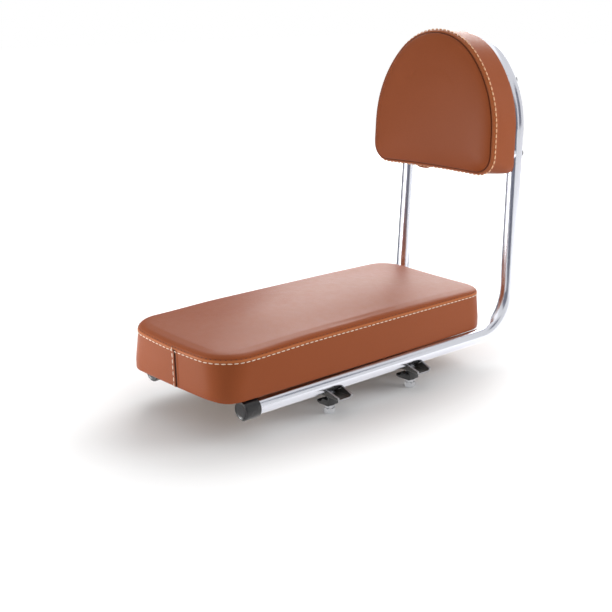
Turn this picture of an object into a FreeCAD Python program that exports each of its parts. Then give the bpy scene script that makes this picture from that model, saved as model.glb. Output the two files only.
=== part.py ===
import FreeCAD, Part
import math
import os

# Rear rack cushion seat: a padded seat and a padded backrest on one bent tube frame.
# Millimetres. x runs across the seat, y runs to the rear, z runs up.
# The origin is the middle of the clamp pattern, on the underside of the cross channels.

V = FreeCAD.Vector

# Bent tube frame
tube_od = 16.0
tube_wall = 1.2
rail_outset = 3.0
rail_front_y = -164.6
rail_toe_deg = 1.32
rail_dip_deg = 0.6
upright_y = 210.5
back_height = 316.0
bend_radius = 48.0
lean_deg = 2.0
converge_deg = 1.1
arch_side_radius = 110.0
arch_side_turn_deg = 45.0

# Cross channels under the rails
channel_pitch = 114.0
channel_overhang = 16.0
channel_floor_width = 18.0
channel_top_width = 22.0
channel_height = 8.0
channel_gauge = 1.6
channel_end_height = 4.0
channel_bend_radius = 1.2

# Fixings of the rails and of the rack clamps
bolt_radius = 3.0
bolt_hole_radius = 3.3
bolt_head_flats = 10.0
bolt_head_height = 5.5
rail_spacer_radius = 6.0
rail_spacer_height = 0.9
rivet_flange_radius = 6.0
rivet_flange_height = 0.7
rivet_body_radius = 4.5
rivet_body_length = 9.0
bolt_tip = 1.0
washer_radius = 5.4
washer_height = 1.6
spring_washer_radius = 4.8
spring_washer_slot = 1.0

# Clamp jaws that hook under the side bars of a rack
rack_bar_radius = 4.0
jaw_reach = 8.4
jaw_lip = 3.0
jaw_width = 13.0
jaw_drop = 10.5
jaw_heel = 1.8
jaw_heel_wall = 0.6
jaw_gape = 4.4
jaw_nose_rise = 0.9
jaw_nose_run = 4.0
jaw_chamfer = 1.0

# Seat cushion
seat_width = 156.0
seat_front_y = -194.5
seat_rear_y = 180.5
seat_front_radius = 36.0
seat_rear_radius = 30.0
seat_base_tuck = 6.0
seat_least_radius = 10.0
seat_band = 36.4
seat_crown = 15.5
seat_roll = 34.0
seat_lift = 0.7

# Backrest pad
pad_overhang = 9.5
pad_height = 149.0
pad_corner_radius = 21.0
pad_base_tuck = 13.0
pad_least_radius = 6.0
pad_band = 36.0
pad_crown = 10.0
pad_roll = 36.0
pad_standoff = 4.0

# Parts shared by both cushions
cover_gauge = 1.2
crown_fullness = 2.5
hem_width = 20.0
board_thickness = 9.0
cover_edge = 1.2
tee_flange_radius = 7.0
tee_flange_height = 1.2
tee_barrel_radius = 4.0
tee_barrel_length = 8.0
seat_bolt_x = 45.0
pan_head_radius = 5.5
pan_head_height = 3.2
sleeve_radius = 6.0
low_screw_inset = 21.0
high_screw_deg = 30.0
saddle_radius = 6.5
saddle_wrap = 2.0

# End caps
cap_wall = 1.2
cap_end = 3.0
cap_length = 22.0
cap_round = 2.4

# Clearances
press_gap = 0.2
rest_gap = 0.3
foam_gap = 0.3
grip_gap = 0.1

# Values that follow from the sizes above
tube_radius = tube_od / 2
rail_x = seat_width / 2 + rail_outset
rail_toe = math.tan(math.radians(rail_toe_deg))
rail_dip = math.tan(math.radians(rail_dip_deg))
channel_ys = (-channel_pitch / 2, channel_pitch / 2)
channel_length = 2 * (rail_x + channel_overhang)
spacer_seat_z = channel_gauge + rivet_flange_height + grip_gap + tube_radius
rail_z = spacer_seat_z + rail_spacer_height + (upright_y - channel_ys[0]) * rail_dip
rack_bar_x = rail_x - (upright_y - channel_ys[0]) * rail_toe - jaw_reach
rack_bar_z = -rack_bar_radius - 2 * grip_gap
seat_bottom_z = rail_z + tube_radius + seat_lift
seat_board_z = seat_bottom_z + cover_gauge
seat_seam_z = seat_bottom_z + seat_band
converge = math.radians(converge_deg)
arch_turn = math.radians(arch_side_turn_deg)
arch_side_gain = arch_side_radius * (math.sin(arch_turn) - math.sin(converge))
arch_side_draw = arch_side_radius * (math.cos(converge) - math.cos(arch_turn))
arch_top_share = (1 - math.sin(arch_turn)) / math.cos(arch_turn)
arch_start_rise = ((back_height - arch_side_gain - arch_top_share * (rail_x - arch_side_draw))
                   / (1 - arch_top_share * math.tan(converge)))
pad_bottom_rise = back_height + pad_overhang - pad_height
low_screw_rise = pad_bottom_rise + low_screw_inset
pad_back_w = tube_radius + pad_standoff
pad_board_w = pad_back_w + cover_gauge
pad_seam_w = pad_back_w + pad_band


def leaned(shape):
    """Move a shape from the backrest plane (across, up, forward) into place."""
    placed = shape.copy()
    turn = FreeCAD.Rotation(V(1, 0, 0), 90 - lean_deg)
    placed.Placement = FreeCAD.Placement(V(0, upright_y, rail_z), turn).multiply(placed.Placement)
    return placed


def rod(radius, height, at, axis=None):
    """Solid round bar from a point along an axis."""
    return Part.makeCylinder(radius, height, at, axis or V(0, 0, 1))


def ring(outer, inner, height, at, axis=None):
    """Flat ring or sleeve from a point along an axis."""
    return rod(outer, height, at, axis).cut(rod(inner, height, at, axis))


def turned(profile, at, axis):
    """Solid of revolution of (radius, height) pairs about an axis from a point."""
    points = [V(r, 0, h) for r, h in profile]
    solid = Part.Face(Part.makePolygon(points + points[:1])).revolve(V(0, 0, 0), V(0, 0, 1), 360)
    solid.Placement = FreeCAD.Placement(at, FreeCAD.Rotation(V(0, 0, 1), axis))
    return solid


def rounded_corner(before, corner, after, radius):
    """Start, middle and end points of an arc that rounds a corner."""
    d1 = (corner - before).normalize()
    d2 = (after - corner).normalize()
    half = d1.getAngle(d2) / 2
    reach = radius * math.tan(half)
    inward = (d2 - d1).normalize()
    middle = corner + inward * (radius / math.cos(half) - radius)
    return corner - d1 * reach, middle, corner + d2 * reach


def mirrored(points):
    """The same points on the other side of the middle plane."""
    return [V(-p.x, p.y, p.z) for p in points]


def arc(a, b, c):
    """Edge of a circle through three points."""
    return Part.Arc(a, b, c).toShape()


def line(a, b):
    """Straight edge between two points."""
    return Part.LineSegment(a, b).toShape()


def arch_points(offset):
    """Points of the arch in the backrest plane, offset outward from the tube centre line."""
    start_x = rail_x - arch_start_rise * math.tan(converge)
    hub = V(start_x - arch_side_radius * math.cos(converge),
            arch_start_rise - arch_side_radius * math.sin(converge), 0)

    def on_side(angle):
        return hub + V(math.cos(angle), math.sin(angle), 0) * (arch_side_radius + offset)

    turn_point = on_side(arch_turn)
    top_radius = turn_point.x / math.cos(arch_turn)
    top = V(0, turn_point.y - top_radius * math.sin(arch_turn) + top_radius, 0)
    return on_side(converge), on_side((converge + arch_turn) / 2), turn_point, top


def rail_point(side, y):
    """Point on the centre line of a rail; the rails draw together and dip towards the front."""
    ahead = upright_y - y
    return V(side * (rail_x - ahead * rail_toe), y, rail_z - ahead * rail_dip)


def rail_heading(side):
    """Direction of a rail towards the rear."""
    return (rail_point(side, upright_y) - rail_point(side, rail_front_y)).normalize()


def tube_path():
    """Centre line of the whole frame tube, from the right rail end to the left one."""
    start, side_mid, turn_point, top = [leaned(Part.Vertex(p)).Point for p in arch_points(0)]
    front = rail_point(1, rail_front_y)
    corner = rail_point(1, upright_y)
    bend = rounded_corner(front, corner, start, bend_radius)
    right = [front, *bend, start, side_mid, turn_point]
    left = mirrored(right)
    edges = [
        line(right[0], right[1]),
        arc(right[1], right[2], right[3]),
        line(right[3], right[4]),
        arc(right[4], right[5], right[6]),
        arc(right[6], top, left[6]),
        arc(left[6], left[5], left[4]),
        line(left[4], left[3]),
        arc(left[3], left[2], left[1]),
        line(left[1], left[0]),
    ]
    return Part.Wire(edges)


def along_tube(radius):
    """Solid round bar of a radius bent along the tube centre line."""
    path = tube_path()
    section = Part.Wire(Part.Circle(rail_point(1, rail_front_y), rail_heading(1), radius).toShape())
    return path.makePipeShell([section], True, False)


def screw_points():
    """The four places on the tube centre line where the backrest is screwed on."""
    low_x = rail_x - low_screw_rise * math.tan(converge)
    start = arch_points(0)[0]
    hub = V(start.x - arch_side_radius * math.cos(converge),
            start.y - arch_side_radius * math.sin(converge), 0)
    angle = math.radians(high_screw_deg)
    high = hub + V(math.cos(angle), math.sin(angle), 0) * arch_side_radius
    right = [V(low_x, low_screw_rise, 0), high]
    return right + mirrored(right)


def seat_outline(inset, z, share):
    """Rounded rectangle of the seat cushion, drawn in by an inset, at a height.

    The corners are tighter at the base (share 0) than at the seam (share 1).
    """
    x = seat_width / 2 - inset
    front = seat_front_y + inset
    rear = seat_rear_y - inset
    tuck = seat_base_tuck * (1 - share) + inset
    f = max(seat_front_radius - tuck, seat_least_radius)
    r = max(seat_rear_radius - tuck, seat_least_radius)
    kf = f * (1 - math.sqrt(0.5))
    kr = r * (1 - math.sqrt(0.5))
    edges = [
        line(V(-x + f, front, z), V(x - f, front, z)),
        arc(V(x - f, front, z), V(x - kf, front + kf, z), V(x, front + f, z)),
        line(V(x, front + f, z), V(x, rear - r, z)),
        arc(V(x, rear - r, z), V(x - kr, rear - kr, z), V(x - r, rear, z)),
        line(V(x - r, rear, z), V(-x + r, rear, z)),
        arc(V(-x + r, rear, z), V(-x + kr, rear - kr, z), V(-x, rear - r, z)),
        line(V(-x, rear - r, z), V(-x, front + f, z)),
        arc(V(-x, front + f, z), V(-x + kf, front + kf, z), V(-x + f, front, z)),
    ]
    return Part.Wire(edges)


def pad_outline(inset, w, share):
    """Arched outline of the backrest pad, drawn in by an inset, at a depth.

    The lower corners are tighter at the back (share 0) than at the seam (share 1).
    """
    lift = V(0, 0, w)
    start, side_mid, turn_point, top = [p + lift for p in arch_points(pad_overhang - inset)]
    bottom = pad_bottom_rise + inset
    spread = start.x + (start.y - bottom) * math.tan(converge)
    r = max(pad_corner_radius - pad_base_tuck * (1 - share) - inset, pad_least_radius)
    right = [*rounded_corner(V(0, bottom, w), V(spread, bottom, w), start, r),
             start, side_mid, turn_point]
    left = mirrored(right)
    edges = [
        line(left[0], right[0]),
        arc(right[0], right[1], right[2]),
        line(right[2], right[3]),
        arc(right[3], right[4], right[5]),
        arc(right[5], top, left[5]),
        arc(left[5], left[4], left[3]),
        line(left[3], left[2]),
        arc(left[2], left[1], left[0]),
    ]
    return Part.Wire(edges)


def slab(outline, inset, low, high):
    """Flat slab with the base outline of a cushion between two heights."""
    return Part.Face(outline(inset, low, 0)).extrude(V(0, 0, high - low))


def crowned(outline, inset, base, seam, crown, roll):
    """Closed cushion on a flat base: a band up to the seam and a rolled, crowned top above it."""
    power = 2 / crown_fullness
    sections = [outline(inset, base, 0)]
    for deg in range(0, 91, 18):
        inward = 1 - max(math.cos(math.radians(deg)), 0) ** power
        upward = math.sin(math.radians(deg)) ** power
        sections.append(outline(inset + roll * inward, seam + crown * upward, 1))
    return Part.makeLoft(sections, True, True)


def eased_underside(shape, height):
    """Ease the outer edges that lie at the given height."""
    edges = [e for e in shape.Edges if all(abs(v.Z - height) < 1e-6 for v in e.Vertexes)]
    return shape.makeChamfer(cover_edge, edges)


def cover(outline, low, board, seam, crown, roll):
    """Sewn cover: a thin skin over board and foam, hemmed in under the board."""
    top = board + board_thickness
    foot = eased_underside(slab(outline, 0, low, top), low)
    skin = foot.fuse(crowned(outline, 0, top, seam, crown, roll))
    hollow = slab(outline, cover_gauge, board, top)
    hollow = hollow.fuse(crowned(outline, cover_gauge, top, seam, crown - cover_gauge, roll))
    mouth = slab(outline, hem_width, low, board)
    return skin.removeSplitter().cut(hollow.removeSplitter()).cut(mouth)


def filling(outline, board, seam, crown, roll):
    """Foam block between the board and the cover."""
    inset = cover_gauge + foam_gap
    return crowned(outline, inset, board + board_thickness, seam, crown - inset, roll)


def tee_nut(at, axis):
    """Flanged nut pressed into the board from the foam side."""
    face = at + axis * board_thickness
    flange = rod(tee_flange_radius, tee_flange_height, face, axis)
    barrel = rod(tee_barrel_radius, tee_barrel_length, face, -axis)
    bore = rod(bolt_radius + press_gap, board_thickness + tee_flange_height, at, axis)
    return flange.fuse(barrel).cut(bore)


def pan_screw(at, axis, length):
    """Screw with a low round head whose shank starts at a point."""
    dome = [(0, 0), (1, 0), (1, 0.4), (0.85, 0.8), (0.5, 1), (0, 1)]
    head = turned([(r * pan_head_radius, h * pan_head_height) for r, h in dome], at, -axis)
    return head.fuse(rod(bolt_radius, length, at, axis))


def hexagon(flats, height, at):
    """Six-sided head below a point."""
    r = flats / math.sqrt(3)
    ring_points = [at + V(r * math.cos(math.radians(a)), r * math.sin(math.radians(a)), 0)
                   for a in range(0, 361, 60)]
    return Part.Face(Part.makePolygon(ring_points)).extrude(V(0, 0, -height))


def channel(y):
    """Pressed cross channel with splayed flanges that are notched for the rails."""
    a = channel_floor_width / 2
    b = channel_top_width / 2
    g = channel_gauge
    h = channel_height
    x = -channel_length / 2
    profile = [V(x, -a, 0), V(x, a, 0), V(x, b, h), V(x, b - g, h), V(x, a - g, g),
               V(x, -a + g, g), V(x, -b + g, h), V(x, -b, h), V(x, -a, 0)]
    body = Part.Face(Part.makePolygon(profile)).extrude(V(channel_length, 0, 0))
    long_edges = [e for e in body.Edges if e.Length > channel_length - 1]
    inner = [e for e in long_edges if abs(e.CenterOfMass.z - g) < 0.01]
    body = body.makeFillet(channel_bend_radius, inner)
    long_edges = [e for e in body.Edges if e.Length > channel_length - 1]
    outer = [e for e in long_edges if e.CenterOfMass.z < 0.01]
    body = body.makeFillet(channel_bend_radius + g, outer)
    body.translate(V(0, y, 0))
    for side in (-1, 1):
        crossing = rail_point(side, y)
        heading = rail_heading(side)
        body = body.cut(rod(tube_radius + rest_gap, 2 * channel_top_width,
                            crossing - heading * channel_top_width, heading))
        body = body.cut(rod(bolt_hole_radius, g, V(crossing.x, y, 0)))
        body = body.cut(rod(bolt_hole_radius, g, V(side * seat_bolt_x, y, 0)))
        inner = crossing.x + side * tube_radius
        outer = -side * x
        low_end = V(outer, y - b, channel_end_height)
        taper = [V(inner, y - b, h), low_end, V(outer, y - b, h), V(inner, y - b, h)]
        body = body.cut(Part.Face(Part.makePolygon(taper)).extrude(V(0, channel_top_width, 0)))
    return body


def jaw(side, y):
    """Clamp jaw: heel against the channel, bolt hole, half-round seat for a rack bar, lip."""
    bolt_x = rail_point(1, y).x
    groove_r = rack_bar_radius + grip_gap
    inner = rack_bar_x - jaw_lip
    heel_start = bolt_x + bolt_hole_radius + jaw_heel_wall
    outer = heel_start + jaw_heel
    low = -jaw_drop
    profile = [V(inner, 0, -jaw_gape), V(inner, 0, low + jaw_nose_rise),
               V(inner + jaw_nose_run, 0, low), V(outer - jaw_chamfer, 0, low),
               V(outer, 0, low + jaw_chamfer), V(outer, 0, 0), V(heel_start, 0, 0),
               V(heel_start, 0, -jaw_gape), V(inner, 0, -jaw_gape)]
    body = Part.Face(Part.makePolygon(profile)).extrude(V(0, jaw_width, 0))
    body.translate(V(0, -jaw_width / 2, 0))
    body = body.cut(rod(groove_r, jaw_width, V(rack_bar_x, -jaw_width / 2, rack_bar_z), V(0, 1, 0)))
    body = body.cut(rod(bolt_hole_radius, jaw_drop, V(bolt_x, 0, low)))
    if side < 0:
        body = body.mirror(V(0, 0, 0), V(1, 0, 0))
    body.translate(V(0, y, 0))
    return body


def end_cap(side):
    """Push-on cap over the front end of a rail."""
    inner = tube_radius + rest_gap
    outer = inner + cap_wall
    profile = [(0, 0)]
    for deg in range(0, 91, 30):
        t = math.radians(deg)
        profile.append((outer - cap_round * (1 - math.sin(t)), cap_round * (1 - math.cos(t))))
    profile += [(outer, cap_length), (inner, cap_length), (inner, cap_end), (0, cap_end)]
    heading = rail_heading(side)
    return turned(profile, rail_point(side, rail_front_y) - heading * cap_end, heading)


nodes = {}
crossings = [(side, y) for side in (-1, 1) for y in channel_ys]
up = V(0, 0, 1)
names = {-1: "right", 1: "left"}
ends = {channel_ys[0]: "front", channel_ys[1]: "rear"}

# Frame tube with its holes
frame = along_tube(tube_radius).cut(along_tube(tube_radius - tube_wall))
for side, y in crossings:
    frame = frame.cut(rod(rivet_body_radius + press_gap, tube_od, rail_point(side, y) - up * tube_od))
for point in screw_points():
    frame = frame.cut(leaned(rod(bolt_hole_radius, 2 * tube_od, point - up * tube_od)))
nodes["frame_tube"] = frame

for side in (-1, 1):
    nodes["end_cap_" + names[side]] = end_cap(side)

# Cross channels and the fixings at the four crossings
for y in channel_ys:
    nodes[ends[y] + "_cross_channel"] = channel(y)
spacers = []
rivets = []
bolts = []
washers = []
springs = []
for side, y in crossings:
    x = rail_point(side, y).x
    nodes["clamp_jaw_" + ends[y] + "_" + names[side]] = jaw(side, y)
    spacer_height = rail_point(side, y).z - spacer_seat_z
    spacers.append(ring(rail_spacer_radius, bolt_hole_radius, spacer_height, V(x, y, channel_gauge)))
    flange_z = channel_gauge + spacer_height
    flange = rod(rivet_flange_radius, rivet_flange_height, V(x, y, flange_z))
    body = rod(rivet_body_radius, rivet_body_length, V(x, y, flange_z))
    thread = rod(bolt_radius + press_gap, rivet_body_length, V(x, y, flange_z))
    rivets.append(flange.fuse(body).cut(thread))
    washer_z = -jaw_drop - washer_height
    washers.append(ring(washer_radius, bolt_hole_radius, washer_height, V(x, y, washer_z)))
    spring_z = washer_z - washer_height
    spring = ring(spring_washer_radius, bolt_hole_radius, washer_height, V(x, y, spring_z))
    slot = Part.makeBox(spring_washer_radius, spring_washer_slot, washer_height, V(x, y, spring_z))
    springs.append(spring.cut(slot))
    head = hexagon(bolt_head_flats, bolt_head_height, V(x, y, spring_z))
    shank = rod(bolt_radius, flange_z + rivet_body_length + bolt_tip - spring_z, V(x, y, spring_z))
    bolts.append(head.fuse(shank))
nodes["rail_spacers"] = Part.makeCompound(spacers)
nodes["rail_rivet_nuts"] = Part.makeCompound(rivets)
nodes["clamp_washers"] = Part.makeCompound(washers)
nodes["clamp_spring_washers"] = Part.makeCompound(springs)
nodes["clamp_bolts"] = Part.makeCompound(bolts)

# Seat cushion and what holds it on the channels
seat_cover = cover(seat_outline, seat_bottom_z, seat_board_z, seat_seam_z, seat_crown, seat_roll)
seat_board = slab(seat_outline, cover_gauge + foam_gap, seat_board_z, seat_board_z + board_thickness)
seat_foam = filling(seat_outline, seat_board_z, seat_seam_z, seat_crown, seat_roll)
seat_nuts = []
seat_bolts = []
seat_sleeves = []
sleeve_height = seat_board_z - channel_gauge
for side, y in crossings:
    foot = V(side * seat_bolt_x, y, 0)
    board_point = foot + up * seat_board_z
    seat_sleeves.append(ring(sleeve_radius, bolt_hole_radius, sleeve_height, foot + up * channel_gauge))
    seat_bolts.append(pan_screw(foot, up, seat_board_z + board_thickness))
    seat_nuts.append(tee_nut(board_point, up))
    seat_board = seat_board.cut(rod(tee_barrel_radius + press_gap, board_thickness, board_point))
    seat_foam = seat_foam.cut(rod(tee_flange_radius + foam_gap, tee_flange_height + foam_gap,
                                  board_point + up * board_thickness))
nodes["seat_cover"] = seat_cover
nodes["seat_foam"] = seat_foam
nodes["seat_base_board"] = seat_board
nodes["seat_tee_nuts"] = Part.makeCompound(seat_nuts)
nodes["seat_bolts"] = Part.makeCompound(seat_bolts)
nodes["seat_sleeves"] = Part.makeCompound(seat_sleeves)

# Backrest pad and what holds it on the tube, drawn flat and then leaned back
pad_cover = cover(pad_outline, pad_back_w, pad_board_w, pad_seam_w, pad_crown, pad_roll)
pad_board = slab(pad_outline, cover_gauge + foam_gap, pad_board_w, pad_board_w + board_thickness)
pad_foam = filling(pad_outline, pad_board_w, pad_seam_w, pad_crown, pad_roll)
pad_nuts = []
pad_screws = []
pad_saddles = []
for point in screw_points():
    board_point = point + up * pad_board_w
    back_point = point - up * (tube_radius + rest_gap)
    pad_screws.append(pan_screw(back_point, up, tube_radius + rest_gap + pad_board_w + board_thickness))
    pad_nuts.append(tee_nut(board_point, up))
    saddle_height = pad_standoff + saddle_wrap
    pad_saddles.append(ring(saddle_radius, bolt_hole_radius, saddle_height,
                            point + up * (pad_back_w - saddle_height)))
    pad_cover = pad_cover.cut(rod(bolt_hole_radius, cover_gauge, point + up * pad_back_w))
    pad_board = pad_board.cut(rod(tee_barrel_radius + press_gap, board_thickness, board_point))
    pad_foam = pad_foam.cut(rod(tee_flange_radius + foam_gap, tee_flange_height + foam_gap,
                                board_point + up * board_thickness))
relief = along_tube(tube_radius + rest_gap)
nodes["backrest_cover"] = leaned(pad_cover)
nodes["backrest_foam"] = leaned(pad_foam)
nodes["backrest_board"] = leaned(pad_board)
nodes["backrest_tee_nuts"] = leaned(Part.makeCompound(pad_nuts))
nodes["backrest_screws"] = leaned(Part.makeCompound(pad_screws))
nodes["backrest_saddles"] = Part.makeCompound([leaned(s).cut(relief) for s in pad_saddles])

os.makedirs("parts", exist_ok=True)
for name, shape in nodes.items():
    shape.exportStep("parts/" + name + ".step")
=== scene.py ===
"""Looks of the rear rack cushion seat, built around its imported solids.

Metres in Blender. Lengths of the object's pieces are in millimetres and are scaled when a mesh is made.
Lengths of the studio are in metres, apart from floor_z and card_clear.
x runs across the seat with plus on its left side, y runs to the rear and z runs up.
"""

import logging
import math
from dataclasses import dataclass
from enum import Enum
from functools import cache

import bmesh
import bpy
import numpy as np
from bpy.types import Material, Node, NodeSocket, NodeTree, Object
from mathutils import Matrix, Vector


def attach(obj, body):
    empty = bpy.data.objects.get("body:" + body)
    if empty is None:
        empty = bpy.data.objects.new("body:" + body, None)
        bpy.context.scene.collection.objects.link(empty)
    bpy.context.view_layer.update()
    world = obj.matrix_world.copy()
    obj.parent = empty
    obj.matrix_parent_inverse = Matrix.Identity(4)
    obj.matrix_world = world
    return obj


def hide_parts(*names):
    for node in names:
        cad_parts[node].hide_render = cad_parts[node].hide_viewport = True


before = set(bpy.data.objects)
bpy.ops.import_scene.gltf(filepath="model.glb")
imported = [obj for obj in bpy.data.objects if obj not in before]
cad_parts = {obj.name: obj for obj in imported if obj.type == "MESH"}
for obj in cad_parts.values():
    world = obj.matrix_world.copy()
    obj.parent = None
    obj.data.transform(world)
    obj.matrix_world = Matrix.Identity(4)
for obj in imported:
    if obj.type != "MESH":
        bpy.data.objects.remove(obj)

Place = tuple[float, float, float]
Colour = tuple[float, float, float, float]
Faces = list[tuple[int, ...]]

MM = 0.001
BODY = "root"
UP: Place = (0.0, 0.0, 1.0)
log = logging.getLogger("cushion_seat")


class Slot(Enum):
    """Material slot names that pieces of the scene are passed with."""

    LEATHER = "tan_leather"
    TUBE = "satin_tube"
    CAP = "black_cap"
    CHANNEL = "black_channel"
    JAW = "black_jaw"
    ZINC = "zinc_steel"


class Seed(Enum):
    """Seeds of the small random turns."""

    JOIN_STITCHES = 5
    STITCHES = 7
    STAPLES = 11
    SETS = 13
    NEEDLE_ROW = 17


class Side(Enum):
    """Sides of the seat by the sign of x."""

    LEFT = 1
    RIGHT = -1


def rgb(red: int, green: int, blue: int) -> Colour:
    """Turn display values into a linear colour.

    Args:
        red: display value from 0 to 255.
        green: display value from 0 to 255.
        blue: display value from 0 to 255.

    Returns:
        Linear red, green, blue and full alpha.
    """
    parts = [v / 255 for v in (red, green, blue)]
    linear = [v / 12.92 if v <= 0.04045 else ((v + 0.055) / 1.055) ** 2.4 for v in parts]
    return (*linear, 1.0)


# Shader tools


class Bench:
    """Places nodes in one tree and joins them."""

    def __init__(self, tree: NodeTree) -> None:
        """Work on the given tree."""
        self.tree = tree

    def add(self, kind: str, inputs: dict | None = None, **settings: object) -> Node:
        """Place a node.

        Args:
            kind: node type.
            inputs: socket name or index to a value or to an output socket.
            settings: properties of the node.

        Returns:
            The new node.
        """
        node = self.tree.nodes.new(kind)
        for name, value in settings.items():
            setattr(node, name, value)
        for name, value in (inputs or {}).items():
            self.join(value, node.inputs[name])
        return node

    def math(self, operation: str, a: object, b: object = 0.0, clamp: bool = False) -> NodeSocket:
        """Join two values by a sum, product or other operation and give the result."""
        return self.add("ShaderNodeMath", {0: a, 1: b}, operation=operation, use_clamp=clamp).outputs[0]

    def mix(self, share: object, low: object, high: object) -> NodeSocket:
        """Mix two colours by a share and give the result."""
        node = self.add("ShaderNodeMix", data_type="RGBA")
        for index, value in ((0, share), (6, low), (7, high)):
            self.join(value, node.inputs[index])
        return node.outputs[2]

    def spread(self, value: object, low: float, high: float) -> NodeSocket:
        """Map a value from 0 and 1 to a low and a high number."""
        node = self.add("ShaderNodeMapRange", {"Value": value, "To Min": low, "To Max": high})
        return node.outputs[0]

    def rise(self, value: NodeSocket, start: float, end: float, low: float, high: float) -> NodeSocket:
        """Let a number rise smoothly from low to high while a value runs from start to end."""
        inputs = {"Value": value, "From Min": start, "From Max": end, "To Min": low, "To Max": high}
        return self.add("ShaderNodeMapRange", inputs, interpolation_type="SMOOTHSTEP").outputs[0]

    def noise(self, place: NodeSocket, scale: object, detail: float, roughness: float = 0.5) -> NodeSocket:
        """Give a noise value at a place."""
        inputs = {"Vector": place, "Scale": scale, "Detail": detail, "Roughness": roughness}
        return self.add("ShaderNodeTexNoise", inputs).outputs["Fac"]

    def group(self, tree: NodeTree, inputs: dict) -> Node:
        """Place a shared effect with its own values."""
        return self.add("ShaderNodeGroup", inputs, node_tree=tree)

    def join(self, value: object, into: NodeSocket) -> None:
        """Link an output to an input, or set the input to a plain value."""
        if isinstance(value, NodeSocket):
            self.tree.links.new(value, into)
        else:
            into.default_value = value

    def bump(self, shader: Node, height: NodeSocket, strength: float, depth: float) -> None:
        """Give a shader a fine relief from a height, with its depth in metres."""
        relief = self.add("ShaderNodeBump", {"Height": height, "Strength": strength, "Distance": depth})
        self.join(relief.outputs[0], shader.inputs["Normal"])

    def seen(self) -> NodeSocket:
        """1 for what the camera sees straight, mirrored or through glass, and 0 for light."""
        path = self.add("ShaderNodeLightPath").outputs
        straight = self.math("MAXIMUM", path["Is Camera Ray"], path["Is Glossy Ray"])
        return self.math("MAXIMUM", straight, path["Is Transmission Ray"])


class Effects:
    """Shader effects that several finishes share, each built once."""

    @staticmethod
    def _new(name: str, values: dict[str, float], outputs: list[str]) -> tuple[Bench, Node, Node]:
        """Start a group that takes coordinates and values.

        Args:
            name: name of the group.
            values: name and default of each value.
            outputs: names of the value outputs.

        Returns:
            The bench of the group, its input node and its output node.
        """
        tree = bpy.data.node_groups.new(name, "ShaderNodeTree")
        tree.interface.new_socket("Vector", in_out="INPUT", socket_type="NodeSocketVector")
        for label, default in values.items():
            socket = tree.interface.new_socket(label, in_out="INPUT", socket_type="NodeSocketFloat")
            socket.default_value = default
        for label in outputs:
            tree.interface.new_socket(label, in_out="OUTPUT", socket_type="NodeSocketFloat")
        bench = Bench(tree)
        return bench, bench.add("NodeGroupInput"), bench.add("NodeGroupOutput")

    @staticmethod
    @cache
    def grain() -> NodeTree:
        """Small rounded cells with fine creases between them, as on grained sheet."""
        bench, start, end = Effects._new("grain", {"Cells": 900.0}, ["Height", "Tone"])
        warp = bench.add("ShaderNodeTexNoise", {"Vector": start.outputs[0], "Scale": 160.0, "Detail": 2.0})
        sway = {0: warp.outputs["Color"], "Scale": 0.0012}
        bent = bench.add("ShaderNodeVectorMath", sway, operation="SCALE")
        place = bench.add("ShaderNodeVectorMath", {0: start.outputs[0], 1: bent.outputs[0]}, operation="ADD")
        cells = bench.add("ShaderNodeTexVoronoi", {"Vector": place.outputs[0], "Scale": start.outputs[1]},
                          feature="DISTANCE_TO_EDGE")
        pebble = bench.add("ShaderNodeMapRange", {"Value": cells.outputs["Distance"], "From Max": 0.28})
        fine = bench.noise(start.outputs[0], 2600.0, 3.0)
        height = bench.math("ADD", bench.math("MULTIPLY", pebble.outputs[0], 0.8),
                            bench.math("MULTIPLY", fine, 0.35))
        bench.join(height, end.inputs["Height"])
        bench.join(pebble.outputs[0], end.inputs["Tone"])
        return bench.tree

    @staticmethod
    @cache
    def mottle() -> NodeTree:
        """Soft patches at two scales, for uneven colour and handling marks."""
        bench, start, end = Effects._new("mottle", {"Patches": 18.0}, ["Broad", "Fine"])
        dense = bench.math("MULTIPLY", start.outputs[1], 9.0)
        bench.join(bench.noise(start.outputs[0], start.outputs[1], 3.0), end.inputs["Broad"])
        bench.join(bench.noise(start.outputs[0], dense, 4.0, 0.6), end.inputs["Fine"])
        return bench.tree

    @staticmethod
    @cache
    def scuffs() -> NodeTree:
        """Sparse short rubbed marks, as a mask."""
        bench, start, end = Effects._new("scuffs", {"Marks": 120.0, "Rarity": 0.62}, ["Mask"])
        patch = bench.noise(start.outputs[0], start.outputs[1], 5.0, 0.7)
        over = bench.math("SUBTRACT", patch, start.outputs[2])
        bench.join(bench.math("MULTIPLY", over, 9.0, clamp=True), end.inputs["Mask"])
        return bench.tree


@dataclass(frozen=True)
class Finish:
    """A finish with a base colour, from which each kind of finish is made."""

    name: str
    colour: Colour
    roughness: float = 0.5

    def start(self) -> tuple[Material, Bench, Node, NodeSocket]:
        """Start a material.

        Returns:
            The material, its bench, its shader and the Object coordinates.
        """
        material = bpy.data.materials.new(self.name)
        material.use_nodes = True
        bench = Bench(material.node_tree)
        shader = material.node_tree.nodes["Principled BSDF"]
        place = bench.add("ShaderNodeTexCoord").outputs["Object"]
        return material, bench, shader, place

    def rough(self, bench: Bench, value: NodeSocket, below: float, above: float) -> NodeSocket:
        """Let the roughness vary with a value, from so much below it to so much above it."""
        return bench.spread(value, self.roughness - below, self.roughness + above)

    def make(self) -> Material:
        """Build the material."""
        raise NotImplementedError


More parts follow.
